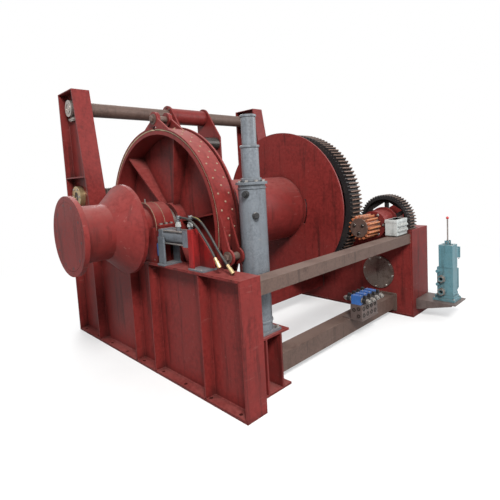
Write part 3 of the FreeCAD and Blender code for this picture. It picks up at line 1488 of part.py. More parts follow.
# ----------------------------------------------------------------------------------------
# Building and writing
# ----------------------------------------------------------------------------------------
def check_and_write():
    """Recompute, refuse anything failed, and write each sub-part to its own file."""
    document.recompute()
    for item in document.Objects:
        if "Invalid" in item.State or "Error" in item.State:
            raise RuntimeError("{} failed: {}".format(item.Name, item.State))
    os.makedirs("parts", exist_ok=True)
    for item in PARTS:
        shape = item.Shape
        if shape.isNull() or not shape.isValid() or not shape.Solids:
            raise RuntimeError("{} has no valid solid".format(item.Label))
        shape.exportStep(os.path.join("parts", item.Label + ".step"))


left_frame()
right_frame()
post(LEFT, "left_post")
post(RIGHT_POST, "right_post")
spooling_rods()
cross_beams()
main_bearings()
main_shaft()
warping_head()
drum()
brake_wheel()
brake()
gears()
gear_bearings()
carriage()
clutch_drive()
clutch_hoses()
controls()
control_valve()
check_and_write()
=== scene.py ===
"""Mooring winch: finishes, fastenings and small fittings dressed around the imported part."""

import json
import logging
import math
from dataclasses import dataclass, field
from enum import Enum

import bmesh
import bpy
from mathutils import Matrix, Vector


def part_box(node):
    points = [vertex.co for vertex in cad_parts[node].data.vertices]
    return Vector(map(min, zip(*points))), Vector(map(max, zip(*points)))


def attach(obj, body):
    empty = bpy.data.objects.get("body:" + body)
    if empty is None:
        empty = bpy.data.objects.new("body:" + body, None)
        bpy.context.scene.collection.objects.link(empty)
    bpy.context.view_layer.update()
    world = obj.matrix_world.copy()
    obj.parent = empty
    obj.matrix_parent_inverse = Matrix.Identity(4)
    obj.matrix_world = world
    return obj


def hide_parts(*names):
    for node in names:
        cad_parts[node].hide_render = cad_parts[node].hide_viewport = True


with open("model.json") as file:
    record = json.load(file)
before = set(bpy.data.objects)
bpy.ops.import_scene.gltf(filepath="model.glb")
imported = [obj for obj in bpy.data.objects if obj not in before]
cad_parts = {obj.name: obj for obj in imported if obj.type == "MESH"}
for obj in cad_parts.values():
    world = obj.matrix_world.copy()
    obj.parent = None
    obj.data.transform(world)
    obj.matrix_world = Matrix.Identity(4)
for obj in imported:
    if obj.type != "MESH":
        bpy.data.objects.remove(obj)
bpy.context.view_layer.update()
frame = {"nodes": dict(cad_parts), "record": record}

log = logging.getLogger("winch")

Colour = tuple[float, float, float]
Point = tuple[float, float, float]
Profile = tuple[tuple[float, float], ...]
Socket = bpy.types.NodeSocket
Tree = bpy.types.NodeTree
FINE_GRAIN = 14.0
SPECK_GRAIN = 55.0
# How far the painted corner shade reaches.
CORNER_REACH = 0.12
BUMP_DEPTH = 0.004
RUBBED_METAL = (0.15, 0.09, 0.065)
FULL_TURN = 2 * math.pi
X_AXIS = Vector((1, 0, 0))
Y_AXIS = Vector((0, 1, 0))
Z_AXIS = Vector((0, 0, 1))
NEARLY_ALONG = 0.9
ROOT = 0.001


class Body(Enum):
    """The rigid bodies that pieces ride on."""

    BASE = "base"
    SHAFT = "shaft"
    DRUM = "drum_body"
    PINION = "pinion"
    MOTOR = "motor"
    SCREW = "screw"
    CARRIAGE = "carriage"
    LEVER = "lever"


# ----------------------------------------------------------------------------------------
# Shader node groups
# ----------------------------------------------------------------------------------------
class Graph:
    """A node tree with short ways of adding and joining its nodes."""

    def __init__(self, tree: Tree) -> None:
        """Take over a tree.

        Args:
            tree: the material's or group's node tree.
        """
        self.tree = tree
        tree.nodes.clear()

    def node(self, kind: str, inputs: dict | None = None, **settings: object) -> bpy.types.Node:
        """Add one node.

        Args:
            kind: the node's type name without its leading "ShaderNode".
            inputs: values or sockets for its inputs, by name or number.
            **settings: properties set on the node itself.

        Returns:
            The new node.
        """
        made = self.tree.nodes.new(kind if kind.startswith("NodeGroup") else "ShaderNode" + kind)
        for name, value in settings.items():
            setattr(made, name, value)
        for key, value in (inputs or {}).items():
            self.feed(made.inputs[key], value)
        return made

    def feed(self, socket: Socket, value: object) -> None:
        """Join a socket to another one, or give it a plain value."""
        if isinstance(value, Socket):
            self.tree.links.new(value, socket)
        elif isinstance(value, tuple) and len(value) == 3 and socket.type == "RGBA":
            socket.default_value = (*value, 1.0)
        else:
            socket.default_value = value

    def maths(self, operation: str, *values: object, clamp: bool = False) -> Socket:
        """The result of a sum on sockets or numbers."""
        made = self.node("Math", dict(enumerate(values)), operation=operation, use_clamp=clamp)
        return made.outputs[0]

    def times(self, first: object, second: object, clamp: bool = False) -> Socket:
        """One value multiplied by another."""
        return self.maths("MULTIPLY", first, second, clamp=clamp)

    def plus(self, first: object, second: object, clamp: bool = False) -> Socket:
        """One value added to another."""
        return self.maths("ADD", first, second, clamp=clamp)

    def less(self, first: object, second: object, clamp: bool = False) -> Socket:
        """One value taken from another."""
        return self.maths("SUBTRACT", first, second, clamp=clamp)

    def ramp(self, value: object, low: float, high: float, start: float = 0.0, end: float = 1.0) -> Socket:
        """A value smoothly remapped from one range to another."""
        limits = {0: value, 1: low, 2: high, 3: start, 4: end}
        return self.node("MapRange", limits, interpolation_type="SMOOTHSTEP").outputs[0]

    def mapped(self, vector: object, **settings: Point) -> Socket:
        """A vector that is turned or scaled."""
        return self.node("Mapping", {"Vector": vector, **settings}).outputs[0]

    def blend(self, factor: object, first: object, second: object) -> Socket:
        """Two colours mixed by a factor."""
        made = self.node("Mix", {0: factor, 6: first, 7: second}, data_type="RGBA")
        return made.outputs[2]

    def noise(self, vector: object, scale: object, detail: float = 4.0, rough: float = 0.55) -> Socket:
        """The value of a fractal noise."""
        inputs = {"Vector": vector, "Scale": scale, "Detail": detail, "Roughness": rough}
        return self.node("TexNoise", inputs).outputs["Fac"]


def new_group(name: str, inputs: dict[str, tuple[str, object]], outputs: dict[str, str]) -> tuple[Tree,
                                                                                                  Graph]:
    """Start a shader node group with named sockets.

    Args:
        name: the group's name.
        inputs: socket name to (kind, default value).
        outputs: socket name to kind.

    Returns:
        The group's tree and its graph.
    """
    tree = bpy.data.node_groups.new(name, "ShaderNodeTree")
    for label, (kind, value) in inputs.items():
        socket = tree.interface.new_socket(label, in_out="INPUT", socket_type="NodeSocket" + kind)
        socket.default_value = (*value, 1.0) if kind == "Color" else value
    for label, kind in outputs.items():
        tree.interface.new_socket(label, in_out="OUTPUT", socket_type="NodeSocket" + kind)
    return tree, Graph(tree)


def weather_group() -> Tree:
    """Paint or metal with worn patches, run marks, settled dust and painted shade darkening its corners.

    Returns:
        The group, whose outputs are Color, Roughness and Height.
    """
    tree, graph = new_group(
        "Weathering",
        {
            "Base": ("Color", (0.5, 0.5, 0.5)), "Worn": ("Color", (0.3, 0.3, 0.3)),
            "Dust": ("Color", (0.6, 0.6, 0.6)), "Grime and shade": ("Color", (0.05, 0.04, 0.03)),
            "Patches": ("Float", 0.4), "Dusting": ("Float", 0.4), "Runs": ("Float", 0.2),
            "Corners": ("Float", 0.4), "Scale": ("Float", 4.0), "Roughness": ("Float", 0.6),
            "Scuffs": ("Float", 0.2),
        },
        {"Color": "Color", "Roughness": "Float", "Height": "Float"},
    )
    given = graph.node("NodeGroupInput").outputs
    where = graph.node("TexCoord").outputs["Object"]
    geometry = graph.node("NewGeometry")
    normal = graph.node("SeparateXYZ", {0: geometry.outputs["Normal"]})
    upward = graph.ramp(normal.outputs["Z"], 0.35, 0.95)
    upright = graph.less(1.0, graph.maths("ABSOLUTE", normal.outputs["Z"]), clamp=True)

    broad = graph.noise(where, given["Scale"], 6.0, 0.62)
    fine = graph.noise(where, graph.times(given["Scale"], FINE_GRAIN), 5.0, 0.6)
    speck = graph.noise(where, graph.times(given["Scale"], SPECK_GRAIN), 3.0, 0.6)
    patch = graph.plus(broad, graph.times(graph.less(fine, 0.5), 0.45))
    patch = graph.ramp(patch, 0.50, 0.72)
    patch = graph.times(patch, given["Patches"], clamp=True)

    tall = graph.mapped(where, Scale=(9.0, 9.0, 0.7))
    runs = graph.ramp(graph.noise(tall, 1.6, 5.0, 0.6), 0.52, 0.74)
    runs = graph.times(graph.times(runs, upright), given["Runs"], clamp=True)

    settled = graph.ramp(graph.plus(broad, graph.times(fine, 0.5)), 0.55, 0.95)
    settled = graph.times(graph.plus(settled, 0.35), upward)
    settled = graph.times(settled, given["Dusting"], clamp=True)

    # Painted shade: an ambient occlusion mask that darkens corners and crevices.
    hidden = graph.node("AmbientOcclusion", {"Distance": CORNER_REACH}, samples=4, only_local=False)
    corner = graph.times(graph.ramp(hidden.outputs["AO"], 0.75, 0.25), given["Corners"], clamp=True)

    streaked = graph.mapped(where, Rotation=(0.5, 0.3, 0.7), Scale=(3.0, 40.0, 26.0))
    scuff = graph.ramp(graph.noise(streaked, 1.1, 4.0, 0.7), 0.6, 0.72)
    scuff = graph.times(graph.times(scuff, graph.ramp(broad, 0.42, 0.6)), given["Scuffs"], clamp=True)
    shade = graph.ramp(graph.plus(fine, graph.times(broad, 0.8)), 0.5, 1.25, 0.66, 1.3)
    shades = graph.node("CombineColor", {0: shade, 1: shade, 2: shade}).outputs[0]
    toned = graph.node("Mix", {0: 1.0, 6: given["Base"], 7: shades}, data_type="RGBA", blend_type="MULTIPLY")
    colour = graph.blend(patch, toned.outputs[2], given["Worn"])
    colour = graph.blend(scuff, colour, given["Dust"])
    colour = graph.blend(runs, colour, given["Grime and shade"])
    colour = graph.blend(settled, colour, given["Dust"])
    # Painted shade in the corners, in the grime-and-shade colour.
    colour = graph.blend(corner, colour, given["Grime and shade"])
    rough = graph.plus(given["Roughness"], graph.times(graph.less(fine, 0.5), 0.25))
    rough = graph.plus(rough, graph.times(settled, 0.25), clamp=True)
    height = graph.plus(graph.times(fine, 0.6), graph.times(speck, 0.4))
    height = graph.less(height, graph.times(patch, 0.4))
    graph.node("NodeGroupOutput", {"Color": colour, "Roughness": rough, "Height": height})
    return tree


def land_group() -> Tree:
    """A mask of the outermost ring of a gear, where its tooth lands have rubbed bare.

    Returns:
        The group, whose output is Mask.
    """
    tree, graph = new_group(
        "Tooth lands",
        {
            "Centre Y": ("Float", 0.0), "Centre Z": ("Float", 0.0), "Radius": ("Float", 1.0),
            "Depth": ("Float", 0.01),
        },
        {"Mask": "Float"},
    )
    given = graph.node("NodeGroupInput").outputs
    where = graph.node("TexCoord").outputs["Object"]
    parts = graph.node("SeparateXYZ", {0: where})
    across = graph.less(parts.outputs["Y"], given["Centre Y"])
    up = graph.less(parts.outputs["Z"], given["Centre Z"])
    reach = graph.maths("SQRT", graph.plus(graph.times(across, across), graph.times(up, up)))
    ragged = graph.times(graph.less(graph.noise(where, 40.0), 0.5), graph.times(given["Depth"], 0.8))
    inside = graph.less(given["Radius"], graph.plus(reach, ragged))
    mask = graph.less(1.0, graph.maths("DIVIDE", inside, given["Depth"]), clamp=True)
    graph.node("NodeGroupOutput", {"Mask": mask})
    return tree


def turning_group() -> Tree:
    """Fine lathe marks around a line along X.

    Returns:
        The group, whose output is Height.
    """
    tree, graph = new_group("Lathe marks", {"Pitch": ("Float", 400.0)}, {"Height": "Float"})
    given = graph.node("NodeGroupInput").outputs
    where = graph.node("TexCoord").outputs["Object"]
    along = graph.node("SeparateXYZ", {0: where}).outputs["X"]
    wave = graph.maths("SINE", graph.times(along, graph.times(given["Pitch"], FULL_TURN)))
    grain = graph.noise(graph.mapped(where, Scale=(220.0, 3.0, 3.0)), 1.0, 3.0)
    graph.node("NodeGroupOutput", {"Height": graph.plus(graph.times(wave, 0.3), grain)})
    return tree


def thread_group() -> Tree:
    """A crossed helical thread around a line along X.

    Returns:
        The group, whose output is Height.
    """
    tree, graph = new_group(
        "Crossed thread",
        {"Pitch": ("Float", 0.045), "Centre Y": ("Float", 0.0), "Centre Z": ("Float", 0.0)},
        {"Height": "Float"},
    )
    given = graph.node("NodeGroupInput").outputs
    parts = graph.node("SeparateXYZ", {0: graph.node("TexCoord").outputs["Object"]})
    across = graph.less(parts.outputs["Y"], given["Centre Y"])
    up = graph.less(parts.outputs["Z"], given["Centre Z"])
    angle = graph.maths("ARCTAN2", up, across)
    along = graph.times(graph.maths("DIVIDE", parts.outputs["X"], given["Pitch"]), FULL_TURN)
    first = graph.maths("SINE", graph.plus(along, angle))
    second = graph.maths("SINE", graph.less(along, angle))
    lowest = graph.maths("MINIMUM", graph.ramp(first, -0.8, -0.2), graph.ramp(second, -0.8, -0.2))
    graph.node("NodeGroupOutput", {"Height": lowest})
    return tree


# ----------------------------------------------------------------------------------------
# Finishes
# ----------------------------------------------------------------------------------------
@dataclass(frozen=True)
class Finish:
    """One paint or metal, with how weathered it is and how much painted shade darkens its corners."""

    name: str
    slot: str
    base: Colour
    worn: Colour
    dust: Colour = (0.36, 0.25, 0.21)
    # Colour of the run marks and of the painted shade in corners.
    grime_and_shade: Colour = (0.035, 0.02, 0.016)
    roughness: float = 0.55
    metallic: float = 0.0
    patches: float = 0.4
    dusting: float = 0.4
    runs: float = 0.2
    # Strength of the painted shade in corners.
    corners: float = 0.5
    scale: float = 2.5
    bump: float = 0.15
    coat: float = 0.0
    turned: float = 0.0
    threaded: float = 0.0
    scuffs: float = 0.2
    shine: float = 0.5


PRIMER = Finish("red oxide primer", "primer_red", (0.165, 0.02, 0.018), (0.075, 0.016, 0.014),
                dust=(0.27, 0.1, 0.09), grime_and_shade=(0.016, 0.007, 0.006), roughness=0.42, patches=0.55,
                dusting=0.4, runs=0.6, corners=0.8, scale=2.2, scuffs=0.6, shine=0.22)
FLANK = Finish("red oxide primer of the gear frame", "primer_red", (0.15, 0.019, 0.017),
               (0.06, 0.016, 0.013), dust=(0.2, 0.09, 0.08), grime_and_shade=(0.02, 0.012, 0.01), roughness=0.4,
               patches=0.5, dusting=0.3, runs=0.7, corners=0.8, scale=1.6, scuffs=0.5, shine=0.22)
SIGNAL = Finish("bright red paint", "primer_red", (0.26, 0.014, 0.014), (0.09, 0.014, 0.012),
                dust=(0.32, 0.1, 0.09), grime_and_shade=(0.03, 0.01, 0.01), roughness=0.4, patches=0.6, dusting=0.3,
                runs=0.5, corners=0.8, scale=9.0, scuffs=0.4, shine=0.3)
RIVET = Finish("tan rivets", "brake_lining", (0.26, 0.16, 0.11), (0.14, 0.07, 0.05), dust=(0.3, 0.2, 0.15),
               roughness=0.6, patches=0.6, dusting=0.2, runs=0.1, scale=20.0, bump=0.1, shine=0.3)
RUST = Finish("brown rust", "rusty_steel", (0.115, 0.072, 0.058), (0.06, 0.034, 0.027),
              dust=(0.21, 0.15, 0.125), grime_and_shade=(0.02, 0.013, 0.01), roughness=0.55, metallic=0.25,
              patches=0.75, dusting=0.4, runs=0.55, scale=3.2, bump=0.3, scuffs=0.4)
STEEL = Finish("machined steel", "bare_steel", (0.4, 0.36, 0.33), (0.19, 0.115, 0.08),
               dust=(0.36, 0.29, 0.24), roughness=0.36, metallic=0.8, patches=0.5, dusting=0.2, runs=0.25,
               scale=5.0, bump=0.1, turned=0.4)
POLISHED = Finish("greasy polished steel", "bare_steel", (0.34, 0.27, 0.235), (0.1, 0.06, 0.045),
                  dust=(0.2, 0.15, 0.12), roughness=0.3, metallic=0.85, patches=0.7, dusting=0.2, runs=0.5,
                  scale=6.0, bump=0.12, turned=0.3)
GREASE = Finish("greased steel", "greased_steel", (0.05, 0.041, 0.037), (0.1, 0.068, 0.045),
                dust=(0.14, 0.105, 0.085), roughness=0.28, metallic=0.5, patches=0.5, dusting=0.15, runs=0.2,
                scale=5.0, bump=0.25)
THREAD = Finish("threaded steel", "greased_steel", (0.085, 0.06, 0.05), (0.05, 0.035, 0.028),
                dust=(0.16, 0.12, 0.1), roughness=0.3, metallic=0.6, patches=0.4, dusting=0.15, runs=0.1,
                scale=6.0, bump=1.0, threaded=1.0)
GEAR = Finish("black gear iron", "black_gear", (0.02, 0.019, 0.02), (0.06, 0.04, 0.03),
              dust=(0.11, 0.088, 0.075), roughness=0.45, metallic=0.15, patches=0.35, dusting=0.25,
              runs=0.15, scale=4.0, bump=0.2, scuffs=0.3, shine=0.3)
ORANGE = Finish("orange paint", "orange_paint", (0.4, 0.12, 0.05), (0.1, 0.05, 0.035),
                dust=(0.42, 0.26, 0.16), roughness=0.42, patches=0.75, dusting=0.25, runs=0.3, scale=6.0,
                bump=0.12)
GREY = Finish("blue grey paint", "grey_paint", (0.125, 0.14, 0.158), (0.07, 0.07, 0.072),
              dust=(0.25, 0.24, 0.23), roughness=0.34, patches=0.4, dusting=0.35, runs=0.45, scale=4.0,
              bump=0.08, coat=0.15, scuffs=0.35)
PALE = Finish("light grey paint", "light_grey_paint", (0.43, 0.45, 0.44), (0.2, 0.195, 0.185),
              dust=(0.46, 0.42, 0.38), roughness=0.4, patches=0.35, dusting=0.3, runs=0.4, scale=8.0,
              bump=0.05)
TEAL = Finish("teal paint", "teal_paint", (0.095, 0.21, 0.245), (0.08, 0.105, 0.11), dust=(0.26, 0.3, 0.3),
              grime_and_shade=(0.03, 0.022, 0.017), roughness=0.34, patches=0.45, dusting=0.35, runs=0.5, scale=7.0,
              bump=0.1, coat=0.2, scuffs=0.4)
LINING = Finish("cream lining", "brake_lining", (0.52, 0.43, 0.28), (0.3, 0.22, 0.13),
                dust=(0.42, 0.33, 0.23), roughness=0.8, patches=0.5, dusting=0.1, runs=0.1, scale=12.0,
                bump=0.15)
KNOB = Finish("red plastic", "red_plastic", (0.5, 0.012, 0.012), (0.36, 0.02, 0.015), dust=(0.4, 0.12, 0.1),
              roughness=0.25, patches=0.2, dusting=0.15, runs=0.0, scale=30.0, bump=0.02, coat=0.4)
BLUE = Finish("valve blue paint", "blue_paint", (0.035, 0.12, 0.36), (0.04, 0.07, 0.16),
              dust=(0.25, 0.28, 0.42), roughness=0.34, patches=0.3, dusting=0.2, runs=0.2, scale=12.0,
              bump=0.05, coat=0.2)
BLACK = Finish("black plastic", "black_plastic", (0.014, 0.014, 0.015), (0.03, 0.028, 0.026),
               dust=(0.08, 0.072, 0.065), roughness=0.42, patches=0.3, dusting=0.25, runs=0.1, scale=12.0,
               bump=0.08)
RUBBER = Finish("black rubber", "black_rubber", (0.018, 0.017, 0.017), (0.04, 0.036, 0.032),
                dust=(0.11, 0.095, 0.08), roughness=0.6, patches=0.4, dusting=0.3, runs=0.1, scale=14.0,
                bump=0.12)
YELLOW = Finish("yellow hose line", "black_rubber", (0.5, 0.36, 0.04), (0.25, 0.17, 0.03),
                dust=(0.4, 0.3, 0.12), roughness=0.5, patches=0.4, dusting=0.1, runs=0.0, scale=20.0,
                bump=0.02)
BRASS = Finish("brass", "brass", (0.5, 0.37, 0.2), (0.28, 0.18, 0.09), dust=(0.42, 0.34, 0.24),
               roughness=0.34, metallic=0.75, patches=0.4, dusting=0.15, runs=0.2, scale=14.0, bump=0.08)
ZINC = Finish("zinc plated steel", "bare_steel", (0.42, 0.4, 0.375), (0.2, 0.14, 0.1),
              dust=(0.36, 0.3, 0.26), roughness=0.34, metallic=0.8, patches=0.5, dusting=0.25, runs=0.2,
              scale=16.0, bump=0.06)
DULL = Finish("brown cast manifold", "bare_steel", (0.17, 0.13, 0.12), (0.1, 0.065, 0.055),
              dust=(0.24, 0.19, 0.165), roughness=0.45, metallic=0.5, patches=0.6, dusting=0.25, runs=0.5,
              scale=9.0, bump=0.1)


@dataclass
class Paintshop:
    """Makes each finish's material once and hands it out."""

    weather: Tree = field(default_factory=weather_group)
    lands: Tree = field(default_factory=land_group)
    marks: Tree = field(default_factory=turning_group)
    thread: Tree = field(default_factory=thread_group)
    made: dict[str, bpy.types.Material] = field(default_factory=dict)

    def material(self, finish: Finish, toothed: "GearWheel | None" = None) -> bpy.types.Material:
        """The material of a finish.

        Args:
            finish: the paint or metal.
            toothed: a gear whose tooth lands have rubbed to bare rusty metal.

        Returns:
            The material.
        """
        name = finish.name if toothed is None else finish.name + " " + toothed.node
        if name not in self.made:
            self.made[name] = self.mix(name, finish, toothed)
        return self.made[name]

    def mix(self, name: str, finish: Finish, toothed: "GearWheel | None") -> bpy.types.Material:
        """Build one material from a finish.

        Args:
            name: the material's name.
            finish: the paint or metal.
            toothed: a gear with rubbed tooth lands.

        Returns:
            The new material.
        """
        material = bpy.data.materials.new(name)
        material.use_nodes = True
        graph = Graph(material.node_tree)
        inputs = {
            "Base": finish.base, "Worn": finish.worn, "Dust": finish.dust, "Grime and shade": finish.grime_and_shade,
            "Patches": finish.patches, "Dusting": finish.dusting, "Runs": finish.runs,
            "Corners": finish.corners, "Scale": finish.scale, "Roughness": finish.roughness,
            "Scuffs": finish.scuffs,
        }
        worn = graph.node("Group", node_tree=self.weather)
        for key, value in inputs.items():
            graph.feed(worn.inputs[key], value)
        colour = worn.outputs["Color"]
        height = worn.outputs["Height"]
        if toothed is not None:
            ring = graph.node("Group", node_tree=self.lands)
            for key, value in toothed.ring().items():
                graph.feed(ring.inputs[key], value)
            colour = graph.blend(ring.outputs["Mask"], colour, toothed.land)
        if finish.turned:
            marks = graph.node("Group", node_tree=self.marks).outputs["Height"]
            height = graph.plus(height, graph.times(marks, finish.turned))
        if finish.threaded:
            screw = Box.of("lead_screw").middle
            helix = graph.node("Group", node_tree=self.thread)
            graph.feed(helix.inputs["Centre Y"], screw.y)
            graph.feed(helix.inputs["Centre Z"], screw.z)
            cut = graph.times(helix.outputs["Height"], finish.threaded)
            height = graph.plus(graph.times(height, 0.15), cut)
            # The thread's grooves take the grime-and-shade colour, so they are drawn darker than the crests.
            colour = graph.blend(helix.outputs["Height"], finish.grime_and_shade, colour)
        bump = graph.node("Bump", {"Strength": finish.bump, "Distance": BUMP_DEPTH, "Height": height})
        shader = graph.node("BsdfPrincipled", {
            "Base Color": colour, "Roughness": worn.outputs["Roughness"], "Metallic": finish.metallic,
            "Coat Weight": finish.coat, "Coat Roughness": 0.25, "Normal": bump.outputs[0],
            "Specular IOR Level": finish.shine,
        })
        graph.node("OutputMaterial", {"Surface": shader.outputs[0]})
        return material


@dataclass(frozen=True)
class GearWheel:
    """A gear node whose lands show brown metal."""

    node: str
    centre: tuple[float, float]
    tip: float
    depth: float
    land: Colour = RUBBED_METAL

    @classmethod
    def of(cls, node: str, depth: float, land: Colour = RUBBED_METAL) -> "GearWheel":
        """Measure a gear node.

        Args:
            node: the gear.
            depth: how deep the rubbed metal reaches from the tips.
            land: the rubbed metal's colour.

        Returns:
            The gear with its axis and its tip radius.
        """
        box = Box.of(node)
        return cls(node, (box.middle.y, box.middle.z), (box.high.y - box.low.y) / 2, depth, land)

    def ring(self) -> dict[str, float]:
        """The mask's inputs."""
        return {"Centre Y": self.centre[0], "Centre Z": self.centre[1], "Radius": self.tip,
                "Depth": self.depth}


# ----------------------------------------------------------------------------------------
# Meshes
# ----------------------------------------------------------------------------------------
class Stock:
    """Metal being worked: fastenings, turned shapes, plates and rods that become one piece."""

    def __init__(self, name: str) -> None:
        """Start an empty piece.

        Args:
            name: the piece's name.
        """
        self.name = name
        self.bm = bmesh.new()

    def ring(self, centre: Vector, side: Vector, other: Vector, radius: float, count: int,
             start: float = 0.0) -> list:
        """A ring of points round a centre.

        Args:
            centre: its middle.
            side: the direction of the first point.
            other: the direction a quarter turn on.
            radius: its radius.
            count: how many points it has.
            start: the first point's angle.

        Returns:
            The new points in order.
        """
        turns = [start + FULL_TURN * step / count for step in range(count)]
        spots = (centre + (side * math.cos(angle) + other * math.sin(angle)) * radius for angle in turns)
        return [self.bm.verts.new(spot) for spot in spots]

    def lathe(self, profile: Profile, origin: Vector, axis: Vector, steps: int = 32,
              turn: float = 0.0) -> "Stock":
        """Turn a profile about a line.

        Args:
            profile: (distance along the axis, radius) from one end to the other.
            origin: where distance 0 is.
            axis: the line's direction.
            steps: how many facets go round.
            turn: the first facet's angle in degrees.

        Returns:
            The stock itself.
        """
        axis = axis.normalized()
        side = axis.orthogonal().normalized()
        if abs(axis.z) < NEARLY_ALONG:
            side = (Z_AXIS - axis * axis.z).normalized()
        other = axis.cross(side)
        rings = []
        for along, radius in profile:
            centre = origin + axis * along
            if radius <= 0:
                rings.append([self.bm.verts.new(centre)])
            else:
                rings.append(self.ring(centre, side, other, radius, steps, math.radians(turn)))
        for first, second in zip(rings, rings[1:]):
            self.bridge(first, second)
        for ring, flip in ((rings[0], True), (rings[-1], False)):
            if len(ring) > 1:
                self.bm.faces.new(ring[::-1] if flip else ring)
        return self

    def hoop(self, profile: Profile, origin: Vector, axis: Vector, steps: int = 48) -> "Stock":
        """Turn a closed profile about a line, as a ring with a hole in it.

        Args:
            profile: (distance along the axis, radius) round the ring's section.
            origin: where distance 0 is.
            axis: the line's direction.
            steps: how many facets go round.

        Returns:
            The stock itself.
        """
        axis = axis.normalized()
        level = Y_AXIS if abs(axis.z) > NEARLY_ALONG else Z_AXIS
        side = (level - axis * axis.dot(level)).normalized()
        other = axis.cross(side)
        rings = [self.ring(origin + axis * along, side, other, radius, steps) for along, radius in profile]
        for first, second in zip(rings, rings[1:] + rings[:1]):
            self.bridge(first, second)
        return self

    def bridge(self, first: list, second: list) -> None:
        """Join two rings of a turned shape with faces."""
        count = max(len(first), len(second))
        for step in range(count):
            after = (step + 1) % count
            if len(first) == 1 and len(second) == 1:
                continue
            if len(first) == 1:
                self.bm.faces.new((first[0], second[step], second[after]))
            elif len(second) == 1:
                self.bm.faces.new((first[step], second[0], first[after])[::-1])
            else:
                self.bm.faces.new((first[step], second[step], second[after], first[after])[::-1])

    def block(self, low: Point, high: Point, bevel: float = 0.002) -> "Stock":
        """A box with softened edges.

        Args:
            low: the lowest corner.
            high: the highest corner.
            bevel: the width of the softened edge.

        Returns:
            The stock itself.
        """
        size = Vector(high) - Vector(low)
        place = Matrix.Translation((Vector(low) + Vector(high)) / 2) @ Matrix.Diagonal((*size, 1.0))
        made = bmesh.ops.create_cube(self.bm, size=1.0, matrix=place)
        edges = list({edge for vert in made["verts"] for edge in vert.link_edges})
        width = min(bevel, min(size) * 0.3)
        bmesh.ops.bevel(self.bm, geom=edges, offset=width, segments=2, affect="EDGES", profile=0.6)
        return self

    def bolt(self, seat: Vector, axis: Vector, width: float, washer: bool = True,
             turn: float = 0.0) -> "Stock":
        """A hexagon head on its washer.

        Args:
            seat: the middle of the face that it's tightened on.
            axis: the direction out of that face.
            width: the thread's diameter.
            washer: whether a washer lies under the head.
            turn: the head's angle in degrees.

        Returns:
            The stock itself.
        """
        axis = axis.normalized()
        lift = 0.0
        if washer:
            lift = width * 0.16
            plate = ((-ROOT, 0), (-ROOT, width), (lift * 0.8, width), (lift, width * 0.96), (lift, 0))
            self.lathe(plate, seat, axis, 20)
        top = lift + width * 0.66
        shoulder = lift + width * 0.5412
        head = ((lift, 0), (lift, width * 0.9), (shoulder, width * 0.9), (top, width * 0.76), (top, 0))
        self.lathe(head, seat, axis, 6, turn)
        return self

    def rod(self, points: list[Vector], radius: float, sides: int = 12) -> "Stock":
        """A round rod or pipe that follows points.

        Args:
            points: its middle line.
            radius: its radius.
            sides: how many facets go round.

        Returns:
            The stock itself.
        """
        rings = []
        side = None
        for index, point in enumerate(points):
            before = points[max(index - 1, 0)]
            after = points[min(index + 1, len(points) - 1)]
            along = (after - before).normalized()
            side = along.orthogonal() if side is None else side - along * side.dot(along)
            side.normalize()
            rings.append(self.ring(point, side, along.cross(side), radius, sides))
        for first, second in zip(rings, rings[1:]):
            self.bridge(first, second)
        self.bm.faces.new(rings[0][::-1])
        self.bm.faces.new(rings[-1])
        return self

    def weld(self, start: Point, end: Point, size: float = 0.006, ripple: float = 0.009) -> "Stock":
        """A rippled weld bead along a straight seam.

        Args:
            start: one end of the seam.
            end: the other end.
            size: the bead's radius.
            ripple: the distance from one ripple to the next.

        Returns:
            The stock itself.
        """
        first_spot = Vector(start)
        run = Vector(end) - first_spot
        count = max(3, int(run.length / ripple))
        along = run.normalized()
        side = along.orthogonal().normalized()
        other = along.cross(side)
        rings = []
        for index in range(count + 1):
            swell = size * (0.86 + 0.14 * (index % 2) + 0.12 * math.sin(index * 1.7) * math.sin(index * 0.37))
            rings.append(self.ring(first_spot + run * (index / count), side, other, swell, 6))
        for first, second in zip(rings, rings[1:]):
            self.bridge(first, second)
        self.bm.faces.new(rings[0][::-1])
        self.bm.faces.new(rings[-1])
        return self

    def done(self, shop: Paintshop, finish: Finish, body: Body, smooth: float = 35.0) -> bpy.types.Object:
        """Turn the stock into a piece with a finish that rides on a body.

        Args:
            shop: where the material comes from.
            finish: its paint or metal.
            body: the body that it moves with.
            smooth: edges flatter than this many degrees are shaded smooth.

        Returns:
            The new object.
        """
        bmesh.ops.recalc_face_normals(self.bm, faces=self.bm.faces)
        mesh = bpy.data.meshes.new(self.name)
        self.bm.to_mesh(mesh)
        self.bm.free()
        mesh.shade_smooth()
        mesh.set_sharp_from_angle(angle=math.radians(smooth))
        mesh.materials.append(shop.material(finish))
        piece = bpy.data.objects.new(self.name, mesh)
        bpy.context.scene.collection.objects.link(piece)
        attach(piece, body.value)
        log.info("%s: %d faces on %s", self.name, len(mesh.polygons), body.value)
        return piece


@dataclass(frozen=True)
class Box:
    """A CAD node's box, with its middle lines."""

    low: Vector
    high: Vector

    @classmethod
    def of(cls, node: str) -> "Box":
        """Measure a node."""
        low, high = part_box(node)
        return cls(Vector(low), Vector(high))

    @property
    def middle(self) -> Vector:
        """The box's centre."""
        return (self.low + self.high) / 2

    def end(self, side: int) -> Vector:
        """The middle of the box's end at low X (side -1) or high X (side 1)."""
        return Vector((self.low.x if side < 0 else self.high.x, self.middle.y, self.middle.z))


def around(centre: Vector, radius: float, count: int, start: float = 0.0) -> list[tuple[Vector, float]]:
    """Places on a circle in the YZ plane.

    Args:
        centre: the circle's centre.
        radius: its radius.
        count: how many places.
        start: the first one's angle in degrees, from +Y towards +Z.

    Returns:
        Each place with its angle in degrees.
    """
    spots = []
    for number in range(count):
        angle = start + 360.0 * number / count
        turn = math.radians(angle)
        spots.append((centre + Vector((0, math.cos(turn), math.sin(turn))) * radius, angle))
    return spots


